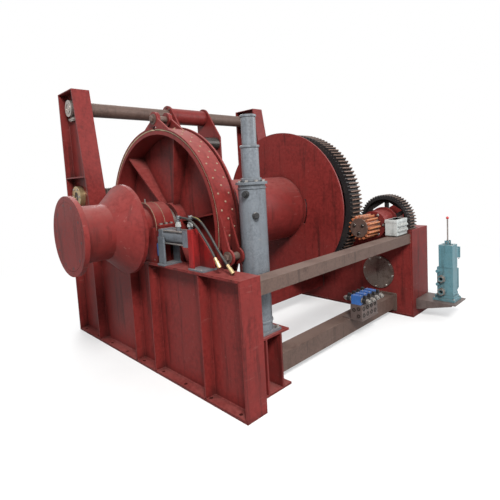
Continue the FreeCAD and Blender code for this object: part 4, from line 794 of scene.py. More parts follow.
# ----------------------------------------------------------------------------------------
# The winch's sub-assemblies
# ----------------------------------------------------------------------------------------
@dataclass
class Coats:
    """Gives every node of the part the finish of its material slot."""

    shop: Paintshop
    plain: tuple[Finish, ...] = (PRIMER, RUST, STEEL, GREASE, GEAR, ORANGE, GREY, PALE, TEAL, LINING, KNOB,
                                 BLUE, RUBBER, BLACK, BRASS)
    pinion_land: Colour = (0.42, 0.15, 0.05)

    def dress(self) -> None:
        """Assign the materials."""
        by_slot = {finish.slot: finish for finish in self.plain}
        toothed = {
            "ring_gear": GearWheel.of("ring_gear", 0.006),
            "spoked_gear": GearWheel.of("spoked_gear", 0.005),
            "drive_pinion": GearWheel.of("drive_pinion", 0.004, self.pinion_land),
        }
        special = {"bearing_cover": POLISHED, "valve_manifold": DULL, "control_shelf": DULL,
                   "lead_screw": THREAD, "clutch_stop_bracket": SIGNAL, "right_end_plates": FLANK,
                   "right_outer_web": FLANK}
        for entry in frame["record"]["subparts"]:
            name = entry["node"]
            finish = special.get(name, by_slot[entry["material_slot"]])
            material = self.shop.material(finish, toothed.get(name))
            for holder in frame["nodes"][name].material_slots:
                holder.material = material
            log.info("coat: %s in %s", name, finish.name)


@dataclass
class FrameWelds:
    """Weld beads along the frames, posts and beams."""

    shop: Paintshop
    bead: float = 0.0065
    thin_bead: float = 0.00585
    half_plate: float = 0.008
    stiffener_setbacks: tuple[float, ...] = (0.485, 1.265, 1.64, 2.538)
    post_flange: float = 0.02
    post_top_gap: float = 0.01

    def build(self) -> None:
        """Lay every bead."""
        self.left_frame()
        self.right_frame()
        self.posts()
        self.beams()

    def left_frame(self) -> None:
        """The left web's seams to its flanges and stiffeners, on both sides."""
        web = Box.of("left_web")
        plates = Box.of("left_stiffeners")
        stock = Stock("left_frame_welds")
        levels = (web.low.z, web.high.z)
        for x in (web.low.x, web.high.x):
            for z in levels:
                stock.weld((x, web.low.y, z), (x, web.high.y, z), self.bead)
        for setback in self.stiffener_setbacks:
            middle = web.low.y + setback
            for y in (middle - self.half_plate, middle + self.half_plate):
                for x, edge in ((web.low.x, plates.low.x), (web.high.x, plates.high.x)):
                    stock.weld((x, y, web.low.z), (x, y, web.high.z), self.bead)
                    for z in levels:
                        stock.weld((x, y, z), (edge, y, z), self.thin_bead)
        stock.done(self.shop, PRIMER, Body.BASE)

    def right_frame(self) -> None:
        """The gear frame's long seams and corners."""
        inner = Box.of("right_inner_web")
        outer = Box.of("right_outer_web")
        ends = Box.of("right_end_plates")
        stock = Stock("right_frame_welds")
        for x in (inner.low.x, outer.high.x):
            for z in (ends.low.z, ends.high.z):
                stock.weld((x, ends.low.y, z), (x, ends.high.y, z), self.bead)
            for y in (inner.low.y, inner.high.y):
                stock.weld((x, y, ends.low.z), (x, y, ends.high.z), self.bead)
        stock.done(self.shop, PRIMER, Body.BASE)

    def posts(self) -> None:
        """The posts' feet and webs."""
        stock = Stock("post_welds")
        for name in ("left_post", "right_post"):
            box = Box.of(name)
            foot = box.low.z
            near = box.low.y + self.post_flange
            back = box.high.y - self.post_flange
            for x in (box.low.x, box.high.x):
                stock.weld((x, box.low.y, foot), (x, near, foot), self.bead)
                stock.weld((x, back, foot), (x, box.high.y, foot), self.bead)
            for x in (box.middle.x - self.half_plate, box.middle.x + self.half_plate):
                stock.weld((x, near, foot), (x, back, foot), self.bead)
                stock.weld((x, back, foot), (x, back, box.high.z - self.post_top_gap), self.bead)
            stock.weld((box.low.x, box.low.y, foot), (box.high.x, box.low.y, foot), self.bead)
        stock.done(self.shop, PRIMER, Body.BASE)

    def beams(self) -> None:
        """The beams' ends where they meet the frames."""
        stock = Stock("beam_welds")
        for name in ("upper_crossbeam", "lower_crossbeam", "middle_crossbeam"):
            box = Box.of(name)
            for x in (box.low.x, box.high.x):
                for z in (box.low.z, box.high.z):
                    stock.weld((x, box.low.y, z), (x, box.high.y, z), self.bead)
                for y in (box.low.y, box.high.y):
                    stock.weld((x, y, box.low.z), (x, y, box.high.z), self.bead)
        stock.done(self.shop, RUST, Body.BASE)


@dataclass
class BearingDress:
    """Bolts, gaskets and split flanges of the two main bearings."""

    shop: Paintshop
    thread: float = 0.024
    seat_plate: float = 0.028
    foot_inset: float = 0.028
    foot_spread: float = 0.05
    left_boss: float = 0.13
    flange_inset: float = 0.012
    flange_reach: float = 0.036
    flange_plate: float = 0.024
    flange_split: float = 0.001
    flange_bevel: float = 0.004
    flange_shares: tuple[float, ...] = (0.22, 0.5, 0.78)
    flange_bolt_reach: float = 0.014
    nipple: Profile = ((-0.004, 0), (-0.004, 0.011), (0.012, 0.011), (0.014, 0.006), (0.03, 0.006),
                       (0.034, 0.003), (0.034, 0))
    near_ring_share: float = 0.84
    near_ring_start: float = 18
    far_ring: float = 0.163
    far_ring_start: float = 22.5
    gasket: float = 0.005
    gasket_under: float = 0.003
    gasket_over: float = 0.004
    gasket_setbacks: tuple[float, ...] = (0.204, 0.105)

    def build(self) -> None:
        """Fit the bolts, the split flanges and the gasket rings."""
        bolts = Stock("main_bearing_bolts")
        flanges = Stock("main_bearing_split_flanges")
        for name in ("left_main_bearing", "right_main_bearing"):
            box = Box.of(name)
            face = box.low.x + self.left_boss if name.startswith("left") else box.low.x
            self.housing(box, face, bolts, flanges)
        flanges.done(self.shop, PRIMER, Body.BASE)
        self.end_rings(bolts)
        bolts.done(self.shop, ZINC, Body.BASE)
        self.gaskets()

    def housing(self, box: Box, face: float, bolts: Stock, flanges: Stock) -> None:
        """The foot bolts, the split flanges and the grease nipple of one housing.

        Args:
            box: the housing.
            face: where its wide part starts along X.
            bolts: takes its bolts and its nipple.
            flanges: takes its flanges.
        """
        shaft = Box.of("main_shaft").middle
        seat_z = Box.of("left_flanges").high.z + self.seat_plate
        radius = box.high.z - shaft.z
        for y in (box.low.y + self.foot_inset, box.high.y - self.foot_inset):
            for x in (box.middle.x - self.foot_spread, box.middle.x + self.foot_spread):
                bolts.bolt(Vector((x, y, seat_z)), Z_AXIS, self.thread)
        inset = self.flange_inset
        start, end = face + inset, box.high.x - inset
        plate, split = self.flange_plate, self.flange_split
        for side in (-1, 1):
            near, far = sorted((side * (radius - inset), side * (radius + self.flange_reach)))
            for low, high in ((-plate, -split), (split, plate)):
                flanges.block((start, near, shaft.z + low), (end, far, shaft.z + high), self.flange_bevel)
            for share in self.flange_shares:
                x = face + (box.high.x - face) * share
                seat = Vector((x, side * (radius + self.flange_bolt_reach), shaft.z + plate))
                bolts.bolt(seat, Z_AXIS, self.thread * 0.75)
        bolts.lathe(self.nipple, Vector((box.middle.x, shaft.y, box.high.z)), Z_AXIS, 12)

    def end_rings(self, bolts: Stock) -> None:
        """The rings of bolts on the left bearing's two ends.

        Args:
            bolts: takes them.
        """
        shaft = Box.of("main_shaft").middle
        left = Box.of("left_main_bearing")
        near = (left.high.z - shaft.z) * self.near_ring_share
        near_middle = Vector((left.high.x, shaft.y, shaft.z))
        for spot, angle in around(near_middle, near, 10, self.near_ring_start):
            bolts.bolt(spot, X_AXIS, self.thread * 0.6, turn=angle)
        far_middle = Vector((left.low.x, shaft.y, shaft.z))
        for spot, angle in around(far_middle, self.far_ring, 8, self.far_ring_start):
            bolts.bolt(spot, -X_AXIS, self.thread * 0.5, turn=angle)

    def gaskets(self) -> None:
        """The tan rings squeezed between the left housing's sections."""
        shaft = Box.of("main_shaft").middle
        left = Box.of("left_main_bearing")
        radius = left.high.z - shaft.z
        under, over = radius - self.gasket_under, radius + self.gasket_over
        section = ((0, under), (0, over), (self.gasket, over), (self.gasket, under))
        rings = Stock("bearing_gaskets")
        for setback in self.gasket_setbacks:
            rings.hoop(section, Vector((left.high.x - setback, shaft.y, shaft.z)), X_AXIS, 72)
        rings.done(self.shop, RIVET, Body.BASE)


@dataclass
class BrakeDress:
    """Rivets through the band and the fittings of the brake cylinder."""

    shop: Paintshop
    rivet: Profile = ((-0.003, 0), (-0.003, 0.0105), (0.003, 0.00945), (0.006, 0.00525), (0.0068, 0))
    rivet_spacing: float = 4.4
    rivet_rows: tuple[float, ...] = (0.22, 0.82)
    rivet_middle: tuple[float, ...] = (0.52,)
    band_plate: float = 0.015
    pins: Profile = ((92.0, 1.04), (193.0, 1.052))
    pin_setback: float = 0.01
    pin_washer: Profile = ((-0.002, 0), (-0.002, 0.052), (0.008, 0.052), (0.008, 0.044), (0.009, 0.044),
                           (0.009, 0))
    pin_washer_plate: float = 0.008
    pin_thread: float = 0.036
    cylinder_setback: float = 0.136
    flange_drop: float = 0.555
    flange_ring: float = 0.106
    foot_spread: float = 0.108
    foot_plate: float = 0.02
    port_seat: float = 0.117
    port: Profile = ((-0.01, 0), (-0.01, 0.03), (0.012, 0.03), (0.014, 0.024), (0.034, 0.024),
                     (0.034, 0.018), (0.05, 0.017), (0.05, 0))

    def build(self) -> None:
        """Rivet the band, nut the pins and fit out the cylinder."""
        self.rivets()
        self.pin_nuts()
        self.cylinder()

    def rivets(self) -> None:
        """Staggered rows of rivets that hold the lining."""
        band = Box.of("brake_band_back")
        shaft = Box.of("main_shaft").middle
        radius = Box.of("brake_lining").high.z - shaft.z + self.band_plate
        stock = Stock("band_rivets")
        for number in range(-33, 22):
            first = 92.0 if number < 0 else 96.0
            turn = math.radians(first + self.rivet_spacing * number)
            out = Vector((0, math.cos(turn), math.sin(turn)))
            for share in self.rivet_rows if number % 2 else self.rivet_middle:
                x = band.low.x + (band.high.x - band.low.x) * share
                stock.lathe(self.rivet, Vector((x, shaft.y, shaft.z)) + out * radius, out, 12)
        stock.done(self.shop, RIVET, Body.BASE)

    def pin_nuts(self) -> None:
        """Washers and nuts on the joint pins' ends."""
        front = Box.of("brake_band_front")
        shaft = Box.of("main_shaft").middle
        stock = Stock("band_pin_nuts")
        ends = ((front.low.x + self.pin_setback, -X_AXIS), (front.high.x - self.pin_setback, X_AXIS))
        for angle, reach in self.pins:
            turn = math.radians(angle)
            for x, out in ends if angle < 180 else ends[:1]:
                seat = Vector((x, shaft.y + math.cos(turn) * reach, shaft.z + math.sin(turn) * reach))
                stock.lathe(self.pin_washer, seat, out, 28)
                stock.bolt(seat + out * self.pin_washer_plate, out, self.pin_thread, washer=False, turn=angle)
        stock.done(self.shop, RUST, Body.BASE)

    def cylinder(self) -> None:
        """The spring cylinder's flange and foot bolts, its rings and its ports."""
        box = Box.of("brake_cylinder")
        flange_z = box.high.z - self.flange_drop
        axis = Vector((box.high.x - self.cylinder_setback, box.middle.y, 0))
        bolts = Stock("brake_cylinder_bolts")
        for number in range(8):
            turn = math.radians(22.5 + 45 * number)
            out = Vector((math.cos(turn), math.sin(turn), 0))
            bolts.bolt(axis + Z_AXIS * flange_z + out * self.flange_ring, Z_AXIS, 0.017, turn=45 * number)
        for x in (-self.foot_spread, self.foot_spread):
            for y in (-self.foot_spread, self.foot_spread):
                bolts.bolt(axis + Vector((x, y, box.low.z + self.foot_plate)), Z_AXIS, 0.022)
        bolts.done(self.shop, ZINC, Body.BASE)
        rings = Stock("brake_cylinder_rings")
        for z, radius, height in ((box.high.z - 0.02, 0.066, 0.02), (box.high.z - 0.272, 0.08, 0.02),
                                  (flange_z + 0.001, 0.086, 0.03), (flange_z - 0.06, 0.1215, 0.012),
                                  (box.low.z + 0.09, 0.1215, 0.02)):
            bore, proud, edge = radius - 0.03, radius + 0.003, 0.003
            section = ((0, bore), (0, radius), (edge, proud), (height - edge, proud), (height, radius),
                       (height, bore))
            rings.hoop(section, axis + Z_AXIS * z, Z_AXIS, 48)
        rings.done(self.shop, GREY, Body.BASE)
        ports = Stock("brake_cylinder_ports")
        for angle, z in ((200, flange_z - 0.1), (20, flange_z - 0.1), (215, 0.7), (235, flange_z - 0.28)):
            out = Vector((math.cos(math.radians(angle)), math.sin(math.radians(angle)), 0))
            ports.lathe(self.port, axis + Z_AXIS * z + out * self.port_seat, out, 20)
        ports.done(self.shop, BLACK, Body.BASE)


@dataclass
class GearDress:
    """Fastenings on the pinion, the covers, the motor, the warping head and the ring gear."""

    shop: Paintshop
    motor_flange_setback: float = 0.302
    motor_flange_inset: float = 0.022
    motor_barrel: float = 0.19
    motor_seams: tuple[float, ...] = (0.245, 0.15, 0.045)
    motor_port: Profile = ((-0.02, 0), (-0.02, 0.032), (0.02, 0.032), (0.02, 0.026), (0.045, 0.026),
                           (0.045, 0.018), (0.03, 0.018), (0.03, 0))
    motor_port_spread: float = 0.06
    motor_port_seat: tuple[float, float] = (0.11, 0.178)
    cover_plate: float = 0.016
    sunk_screw: Profile = ((-0.006, 0), (-0.006, 0.006), (-0.001, 0.0115), (0.0002, 0.0115), (0.0003, 0.005),
                           (0.0003, 0))
    head_screw_inset: float = 0.024
    key_width: float = 0.04
    key_length: float = 0.032
    hub_ring: float = 0.2

    def build(self) -> None:
        """Bolt the round plates on."""
        self.pinion()
        self.covers()
        self.motor()
        self.warping_head()
        self.hubs()

    def ring(self, stock: Stock, centre: Vector, out: Vector, radius: float, bolts: tuple[int, float],
             thread: float) -> None:
        """A ring of bolts on a round face.

        Args:
            stock: takes the bolts.
            centre: the face's middle.
            out: the direction out of the face.
            radius: the ring's radius.
            bolts: how many there are and the first one's angle.
            thread: their thread's diameter.
        """
        for spot, angle in around(centre, radius, *bolts):
            stock.bolt(spot, out, thread, turn=angle)

    def pinion(self) -> None:
        """The bolts of the pinion's end disc and the screws of its shaft's collar."""
        disc = Box.of("pinion_end_disc")
        bolts = Stock("pinion_end_bolts")
        self.ring(bolts, disc.end(-1), -X_AXIS, 0.062, (3, 30), 0.021)
        bolts.done(self.shop, GREASE, Body.PINION)
        screws = Stock("pinion_collar_screws")
        self.ring(screws, Box.of("pinion_shaft").end(1), X_AXIS, 0.042, (4, 20), 0.014)
        screws.done(self.shop, ZINC, Body.PINION)

    def covers(self) -> None:
        """The bolts of the polished cover, the motor's flange and the quills."""
        stock = Stock("cover_and_motor_bolts")
        cover = Box.of("bearing_cover")
        radius = (cover.high.z - cover.low.z) / 2
        face = cover.end(-1) + X_AXIS * self.cover_plate
        self.ring(stock, face, -X_AXIS, radius - self.cover_plate, (8, 10), 0.013)
        motor = Box.of("hydraulic_motor")
        radius = (motor.high.z - motor.low.z) / 2
        plate = motor.end(1) - X_AXIS * self.motor_flange_setback
        self.ring(stock, plate, X_AXIS, radius - self.motor_flange_inset, (10, 0), 0.02)
        quills = Box.of("pinion_bearings")
        self.ring(stock, quills.end(-1), -X_AXIS, 0.135, (6, 0), 0.016)
        self.ring(stock, quills.end(1), X_AXIS, 0.135, (6, 0), 0.016)
        stock.done(self.shop, ZINC, Body.BASE)

    def motor(self) -> None:
        """The motor's two ports and the rings over its seams."""
        end = Box.of("hydraulic_motor").end(1)
        ports = Stock("motor_ports")
        setback, rise = self.motor_port_seat
        for y in (-self.motor_port_spread, self.motor_port_spread):
            ports.lathe(self.motor_port, end + Vector((-setback, y, rise)), Z_AXIS, 24)
        ports.done(self.shop, BLACK, Body.BASE)
        seams = Stock("motor_seam_rings")
        barrel = self.motor_barrel
        section = ((0, barrel - 0.01), (0, barrel), (0.003, barrel + 0.004), (0.017, barrel + 0.004),
                   (0.02, barrel), (0.02, barrel - 0.01))
        for setback in self.motor_seams:
            seams.hoop(section, end - X_AXIS * setback, X_AXIS, 64)
        seams.done(self.shop, RIVET, Body.BASE)

    def warping_head(self) -> None:
        """The cover's countersunk screws, flush with its face."""
        head = Box.of("warping_head_cover")
        radius = (head.high.z - head.low.z) / 2
        screws = Stock("warping_head_screws")
        for spot, _angle in around(head.end(-1), radius - self.head_screw_inset, 10, 7):
            screws.lathe(self.sunk_screw, spot, -X_AXIS, 16)
        screws.done(self.shop, BLACK, Body.SHAFT)

    def hubs(self) -> None:
        """The ring gear's keys and its hub's bolts."""
        gear = Box.of("ring_gear")
        top = Box.of("main_shaft").high.z
        half = self.key_width / 2
        keys = Stock("ring_gear_key")
        for x in (gear.low.x - 0.012, gear.high.x - 0.02):
            keys.block((x, -half, top - 0.012), (x + self.key_length, half, top + 0.018), 0.003)
        self.ring(keys, gear.end(-1), -X_AXIS, self.hub_ring, (8, 22.5), 0.022)
        keys.done(self.shop, RUST, Body.SHAFT)


@dataclass
class SpoolingDress:
    """Fastenings of the level-wind carriage and its rod and screw."""

    shop: Paintshop
    disc_ring: Profile = ((-0.002, 0.05), (-0.002, 0.064), (0.004, 0.064), (0.006, 0.06), (0.006, 0.054),
                          (0.004, 0.05))
    disc_centre: Profile = ((-0.002, 0), (-0.002, 0.014), (0.003, 0.014), (0.005, 0.01), (0.005, 0))
    keeper_spread: float = 0.05
    keeper_seat: tuple[float, float] = (0.032, 0.022)
    screw_ring: float = 0.103
    nut_ring: float = 0.118
    sleeve_ring: float = 0.117
    pin_cap: Profile = ((-0.001, 0), (-0.001, 0.042), (0.012, 0.042), (0.014, 0.038), (0.014, 0))
    pin_seat: tuple[float, float] = (0.29, 0.42)
    roller_cap: Profile = ((-0.002, 0), (-0.002, 0.05), (0.006, 0.05), (0.008, 0.046), (0.008, 0))
    roller_spread: float = 0.125
    roller_radius: float = 0.07
    roller_bracket: float = 0.21

    def build(self) -> None:
        """Bolt the carriage, cap the rod and lock the keepers."""
        self.rod_ends()
        self.carriage()

    def rod_ends(self) -> None:
        """Rings and centres on the rod's end discs, keeper bolts and bearing screws."""
        discs = Box.of("guide_rod_end_discs")
        rod = Box.of("top_guide_rod").middle
        screw = Box.of("lead_screw").middle
        rings = Stock("rod_end_rings")
        bolts = Stock("spooling_bolts")
        setback, rise = self.keeper_seat
        for x, out in ((discs.low.x, -X_AXIS), (discs.high.x, X_AXIS)):
            centre = Vector((x, rod.y, rod.z))
            rings.hoop(self.disc_ring, centre, out, 48)
            rings.lathe(self.disc_centre, centre, out, 20)
            for y in (rod.y - self.keeper_spread, rod.y + self.keeper_spread):
                bolts.bolt(Vector((x - out.x * setback, y, discs.low.z + rise)), out, 0.016)
            for spot, angle in around(Vector((x, screw.y, screw.z)), self.screw_ring, 6, 0):
                bolts.bolt(spot, out, 0.014, turn=angle)
        rings.done(self.shop, STEEL, Body.BASE)
        bolts.done(self.shop, ZINC, Body.BASE)

    def carriage(self) -> None:
        """Bolts round the sleeve and the nut, pins and roller caps."""
        cheeks = Box.of("carriage_frame")
        rod = Box.of("top_guide_rod").middle
        screw = Box.of("lead_screw").middle
        rollers = Box.of("carriage_rollers")
        bolts = Stock("carriage_bolts")
        back, drop = self.pin_seat
        for x, out in ((cheeks.low.x, -X_AXIS), (cheeks.high.x, X_AXIS)):
            for spot, angle in around(Vector((x, screw.y, screw.z)), self.nut_ring, 8, 22.5):
                bolts.bolt(spot, out, 0.016, turn=angle)
            for spot, angle in around(Vector((x, rod.y, rod.z)), self.sleeve_ring, 8, 0):
                bolts.bolt(spot, out, 0.015, turn=angle)
            pin = Vector((x, rod.y - back, rod.z - drop))
            bolts.lathe(self.pin_cap, pin, out, 28)
            bolts.bolt(pin + out * self.pin_cap[-1][0], out, 0.024)
        bolts.done(self.shop, RUST, Body.CARRIAGE)
        caps = Stock("roller_caps")
        ends = ((rollers.low.z, -Z_AXIS), (rollers.high.z - self.roller_bracket, Z_AXIS))
        for x in (cheeks.middle.x - self.roller_spread, cheeks.middle.x + self.roller_spread):
            for z, out in ends:
                caps.lathe(self.roller_cap, Vector((x, rollers.high.y - self.roller_radius, z)), out, 32)
        caps.done(self.shop, GREASE, Body.CARRIAGE)


@dataclass(frozen=True)
class Hose:
    """One hose: the node it stands for, its length and the steps of its route from its elbow."""

    node: str
    length: float
    steps: tuple[Point, ...]
    striped: bool = False


@dataclass
class ClutchDress:
    """The clutch cylinder's tie rods, port nuts, hoses and switch."""

    shop: Paintshop
    hose_radius: float = 0.01
    hoses: tuple[Hose, ...] = (
        Hose("clutch_hose_1", 0.572, (
            (0, 0, 0), (0, -0.068, 0), (0, -0.153, -0.022), (-0.002, -0.238, -0.074), (-0.004, -0.32, -0.154),
            (-0.006, -0.395, -0.232), (-0.008, -0.453, -0.308),
        )),
        Hose("clutch_hose_2", 0.574, (
            (0, 0, 0), (0, -0.065, 0), (-0.001, -0.142, -0.05), (-0.002, -0.226, -0.136),
            (-0.003, -0.305, -0.236), (-0.004, -0.371, -0.31), (-0.004, -0.425, -0.361),
        ), True),
    )
    stripe_radius: float = 0.0014
    stripe_lift: Point = (-0.0045, -0.001, 0.0082)
    barrel_radius: float = 0.07
    rod_spread: float = 0.056
    rod_radius: float = 0.007
    rod_inset: float = 0.055
    bracket_bolts: tuple[float, ...] = (0.03, 0.11)
    bracket_gap: float = 0.006
    bracket_plate: float = 0.014
    port_back: float = 0.034
    port_rise: float = 0.18
    port_nut: Profile = ((-0.012, 0), (-0.012, 0.027), (0.012, 0.027), (0.012, 0.0))
    port_neck: Profile = ((0.012, 0), (0.012, 0.021), (0.03, 0.021), (0.03, 0))
    hose_nut: Profile = ((0.0, 0), (0.0, 0.0165), (0.022, 0.0165), (0.022, 0))
    hose_nut_back: float = 0.024
    switch_corner: Point = (-0.05, -0.02, -0.19)
    switch_size: Point = (0.04, 0.07, 0.12)
    switch_stem: Profile = ((0, 0), (0, 0.017), (0.03, 0.015), (0.05, 0.011), (0.09, 0.011), (0.1, 0.004),
                            (0.1, 0))
    switch_tail: float = 0.056

    def build(self) -> None:
        """Fit out the cylinder and hang its hoses."""
        self.rods()
        self.ports()
        self.switch()
        for hose in self.hoses:
            self.hang(hose)

    def hang(self, hose: Hose) -> None:
        """Make one hose as a smooth curve and put it in its node's place.

        Args:
            hose: which one.
        """
        box = Box.of(hose.node)
        mouth = Vector((box.high.x - self.hose_radius, box.high.y, box.high.z - self.hose_radius))
        points = [mouth + Vector(step) for step in hose.steps]
        curve = self.curve(hose.node + "_rubber", points, self.hose_radius, RUBBER)
        if hose.striped:
            lifted = [point + Vector(self.stripe_lift) for point in points]
            self.curve(hose.node + "_stripe", lifted, self.stripe_radius, YELLOW)
        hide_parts(hose.node)

    def curve(self, name: str, points: list[Vector], radius: float, finish: Finish) -> bpy.types.Object:
        """A round curve of one smooth spline.

        Args:
            name: the piece's name.
            points: the spline's control points.
            radius: half its thickness.
            finish: what it is made of.

        Returns:
            The new object.
        """
        data = bpy.data.curves.new(name, "CURVE")
        data.dimensions = "3D"
        data.bevel_depth = radius
        data.bevel_resolution = 6
        data.resolution_u = 10
        data.use_fill_caps = True
        spline = data.splines.new("NURBS")
        spline.points.add(len(points) - 1)
        for spot, point in zip(spline.points, points):
            spot.co = (*point, 1.0)
        spline.order_u = 3
        spline.use_endpoint_u = True
        data.materials.append(self.shop.material(finish))
        piece = bpy.data.objects.new(name, data)
        bpy.context.scene.collection.objects.link(piece)
        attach(piece, Body.BASE.value)
        return piece

    def rods(self) -> None:
        """The tie rods with their nuts, and the brackets' bolts."""
        box = Box.of("clutch_cylinder")
        bracket = Box.of("clutch_fork_bracket")
        stop = Box.of("clutch_stop_bracket")
        near = Y_AXIS * (box.low.y + self.rod_inset)
        far = Box.of("clutch_lever").high.y - self.barrel_radius
        axis_z = box.low.z + self.barrel_radius
        stock = Stock("clutch_tie_rods")
        for x in (box.middle.x - self.rod_spread, box.middle.x + self.rod_spread):
            for z in (axis_z - self.rod_spread, axis_z + self.rod_spread):
                line = Vector((x, 0, z))
                stock.rod([line + near, line + Y_AXIS * (far - self.rod_inset)], self.rod_radius, 10)
                stock.bolt(line + Y_AXIS * far, Y_AXIS, 0.013)
        for setback in self.bracket_bolts:
            for x in (stop.low.x - self.bracket_gap, stop.high.x + self.bracket_gap):
                seat = Vector((x, bracket.low.y + setback, bracket.low.z + self.bracket_plate))
                stock.bolt(seat, Z_AXIS, 0.009)
        stock.done(self.shop, ZINC, Body.BASE)

    def ports(self) -> None:
        """The nuts and necks of the two ports, and the hoses' nuts."""
        base = Box.of("clutch_cylinder").low.z
        stock = Stock("clutch_port_nuts")
        for hose in self.hoses:
            high = Box.of(hose.node).high
            seat = Vector((high.x - self.hose_radius, high.y + self.port_back, base + self.port_rise))
            stock.lathe(self.port_nut, seat, Z_AXIS, 6)
            stock.lathe(self.port_neck, seat, Z_AXIS, 20)
            mouth = Vector((seat.x, high.y + self.hose_nut_back, high.z - self.hose_radius))
            stock.lathe(self.hose_nut, mouth, -Y_AXIS, 6)
        stock.done(self.shop, PALE, Body.BASE)

    def switch(self) -> None:
        """The blue switch beside the lever, with its stem and its tail."""
        lever = Box.of("clutch_lever").low
        axis_z = Box.of("clutch_cylinder").low.z + self.barrel_radius
        low = Vector((lever.x, lever.y, axis_z)) + Vector(self.switch_corner)
        size = Vector(self.switch_size)
        foot = low + Vector((size.x / 2, size.y / 2, 0))
        stock = Stock("clutch_switch")
        stock.block(low, low + size, 0.008)
        stock.lathe(self.switch_stem, foot + Z_AXIS * (size.z - 0.002), Z_AXIS, 20)
        stock.rod([foot, foot - Z_AXIS * self.switch_tail], 0.009, 12)
        stock.done(self.shop, BLUE, Body.BASE)


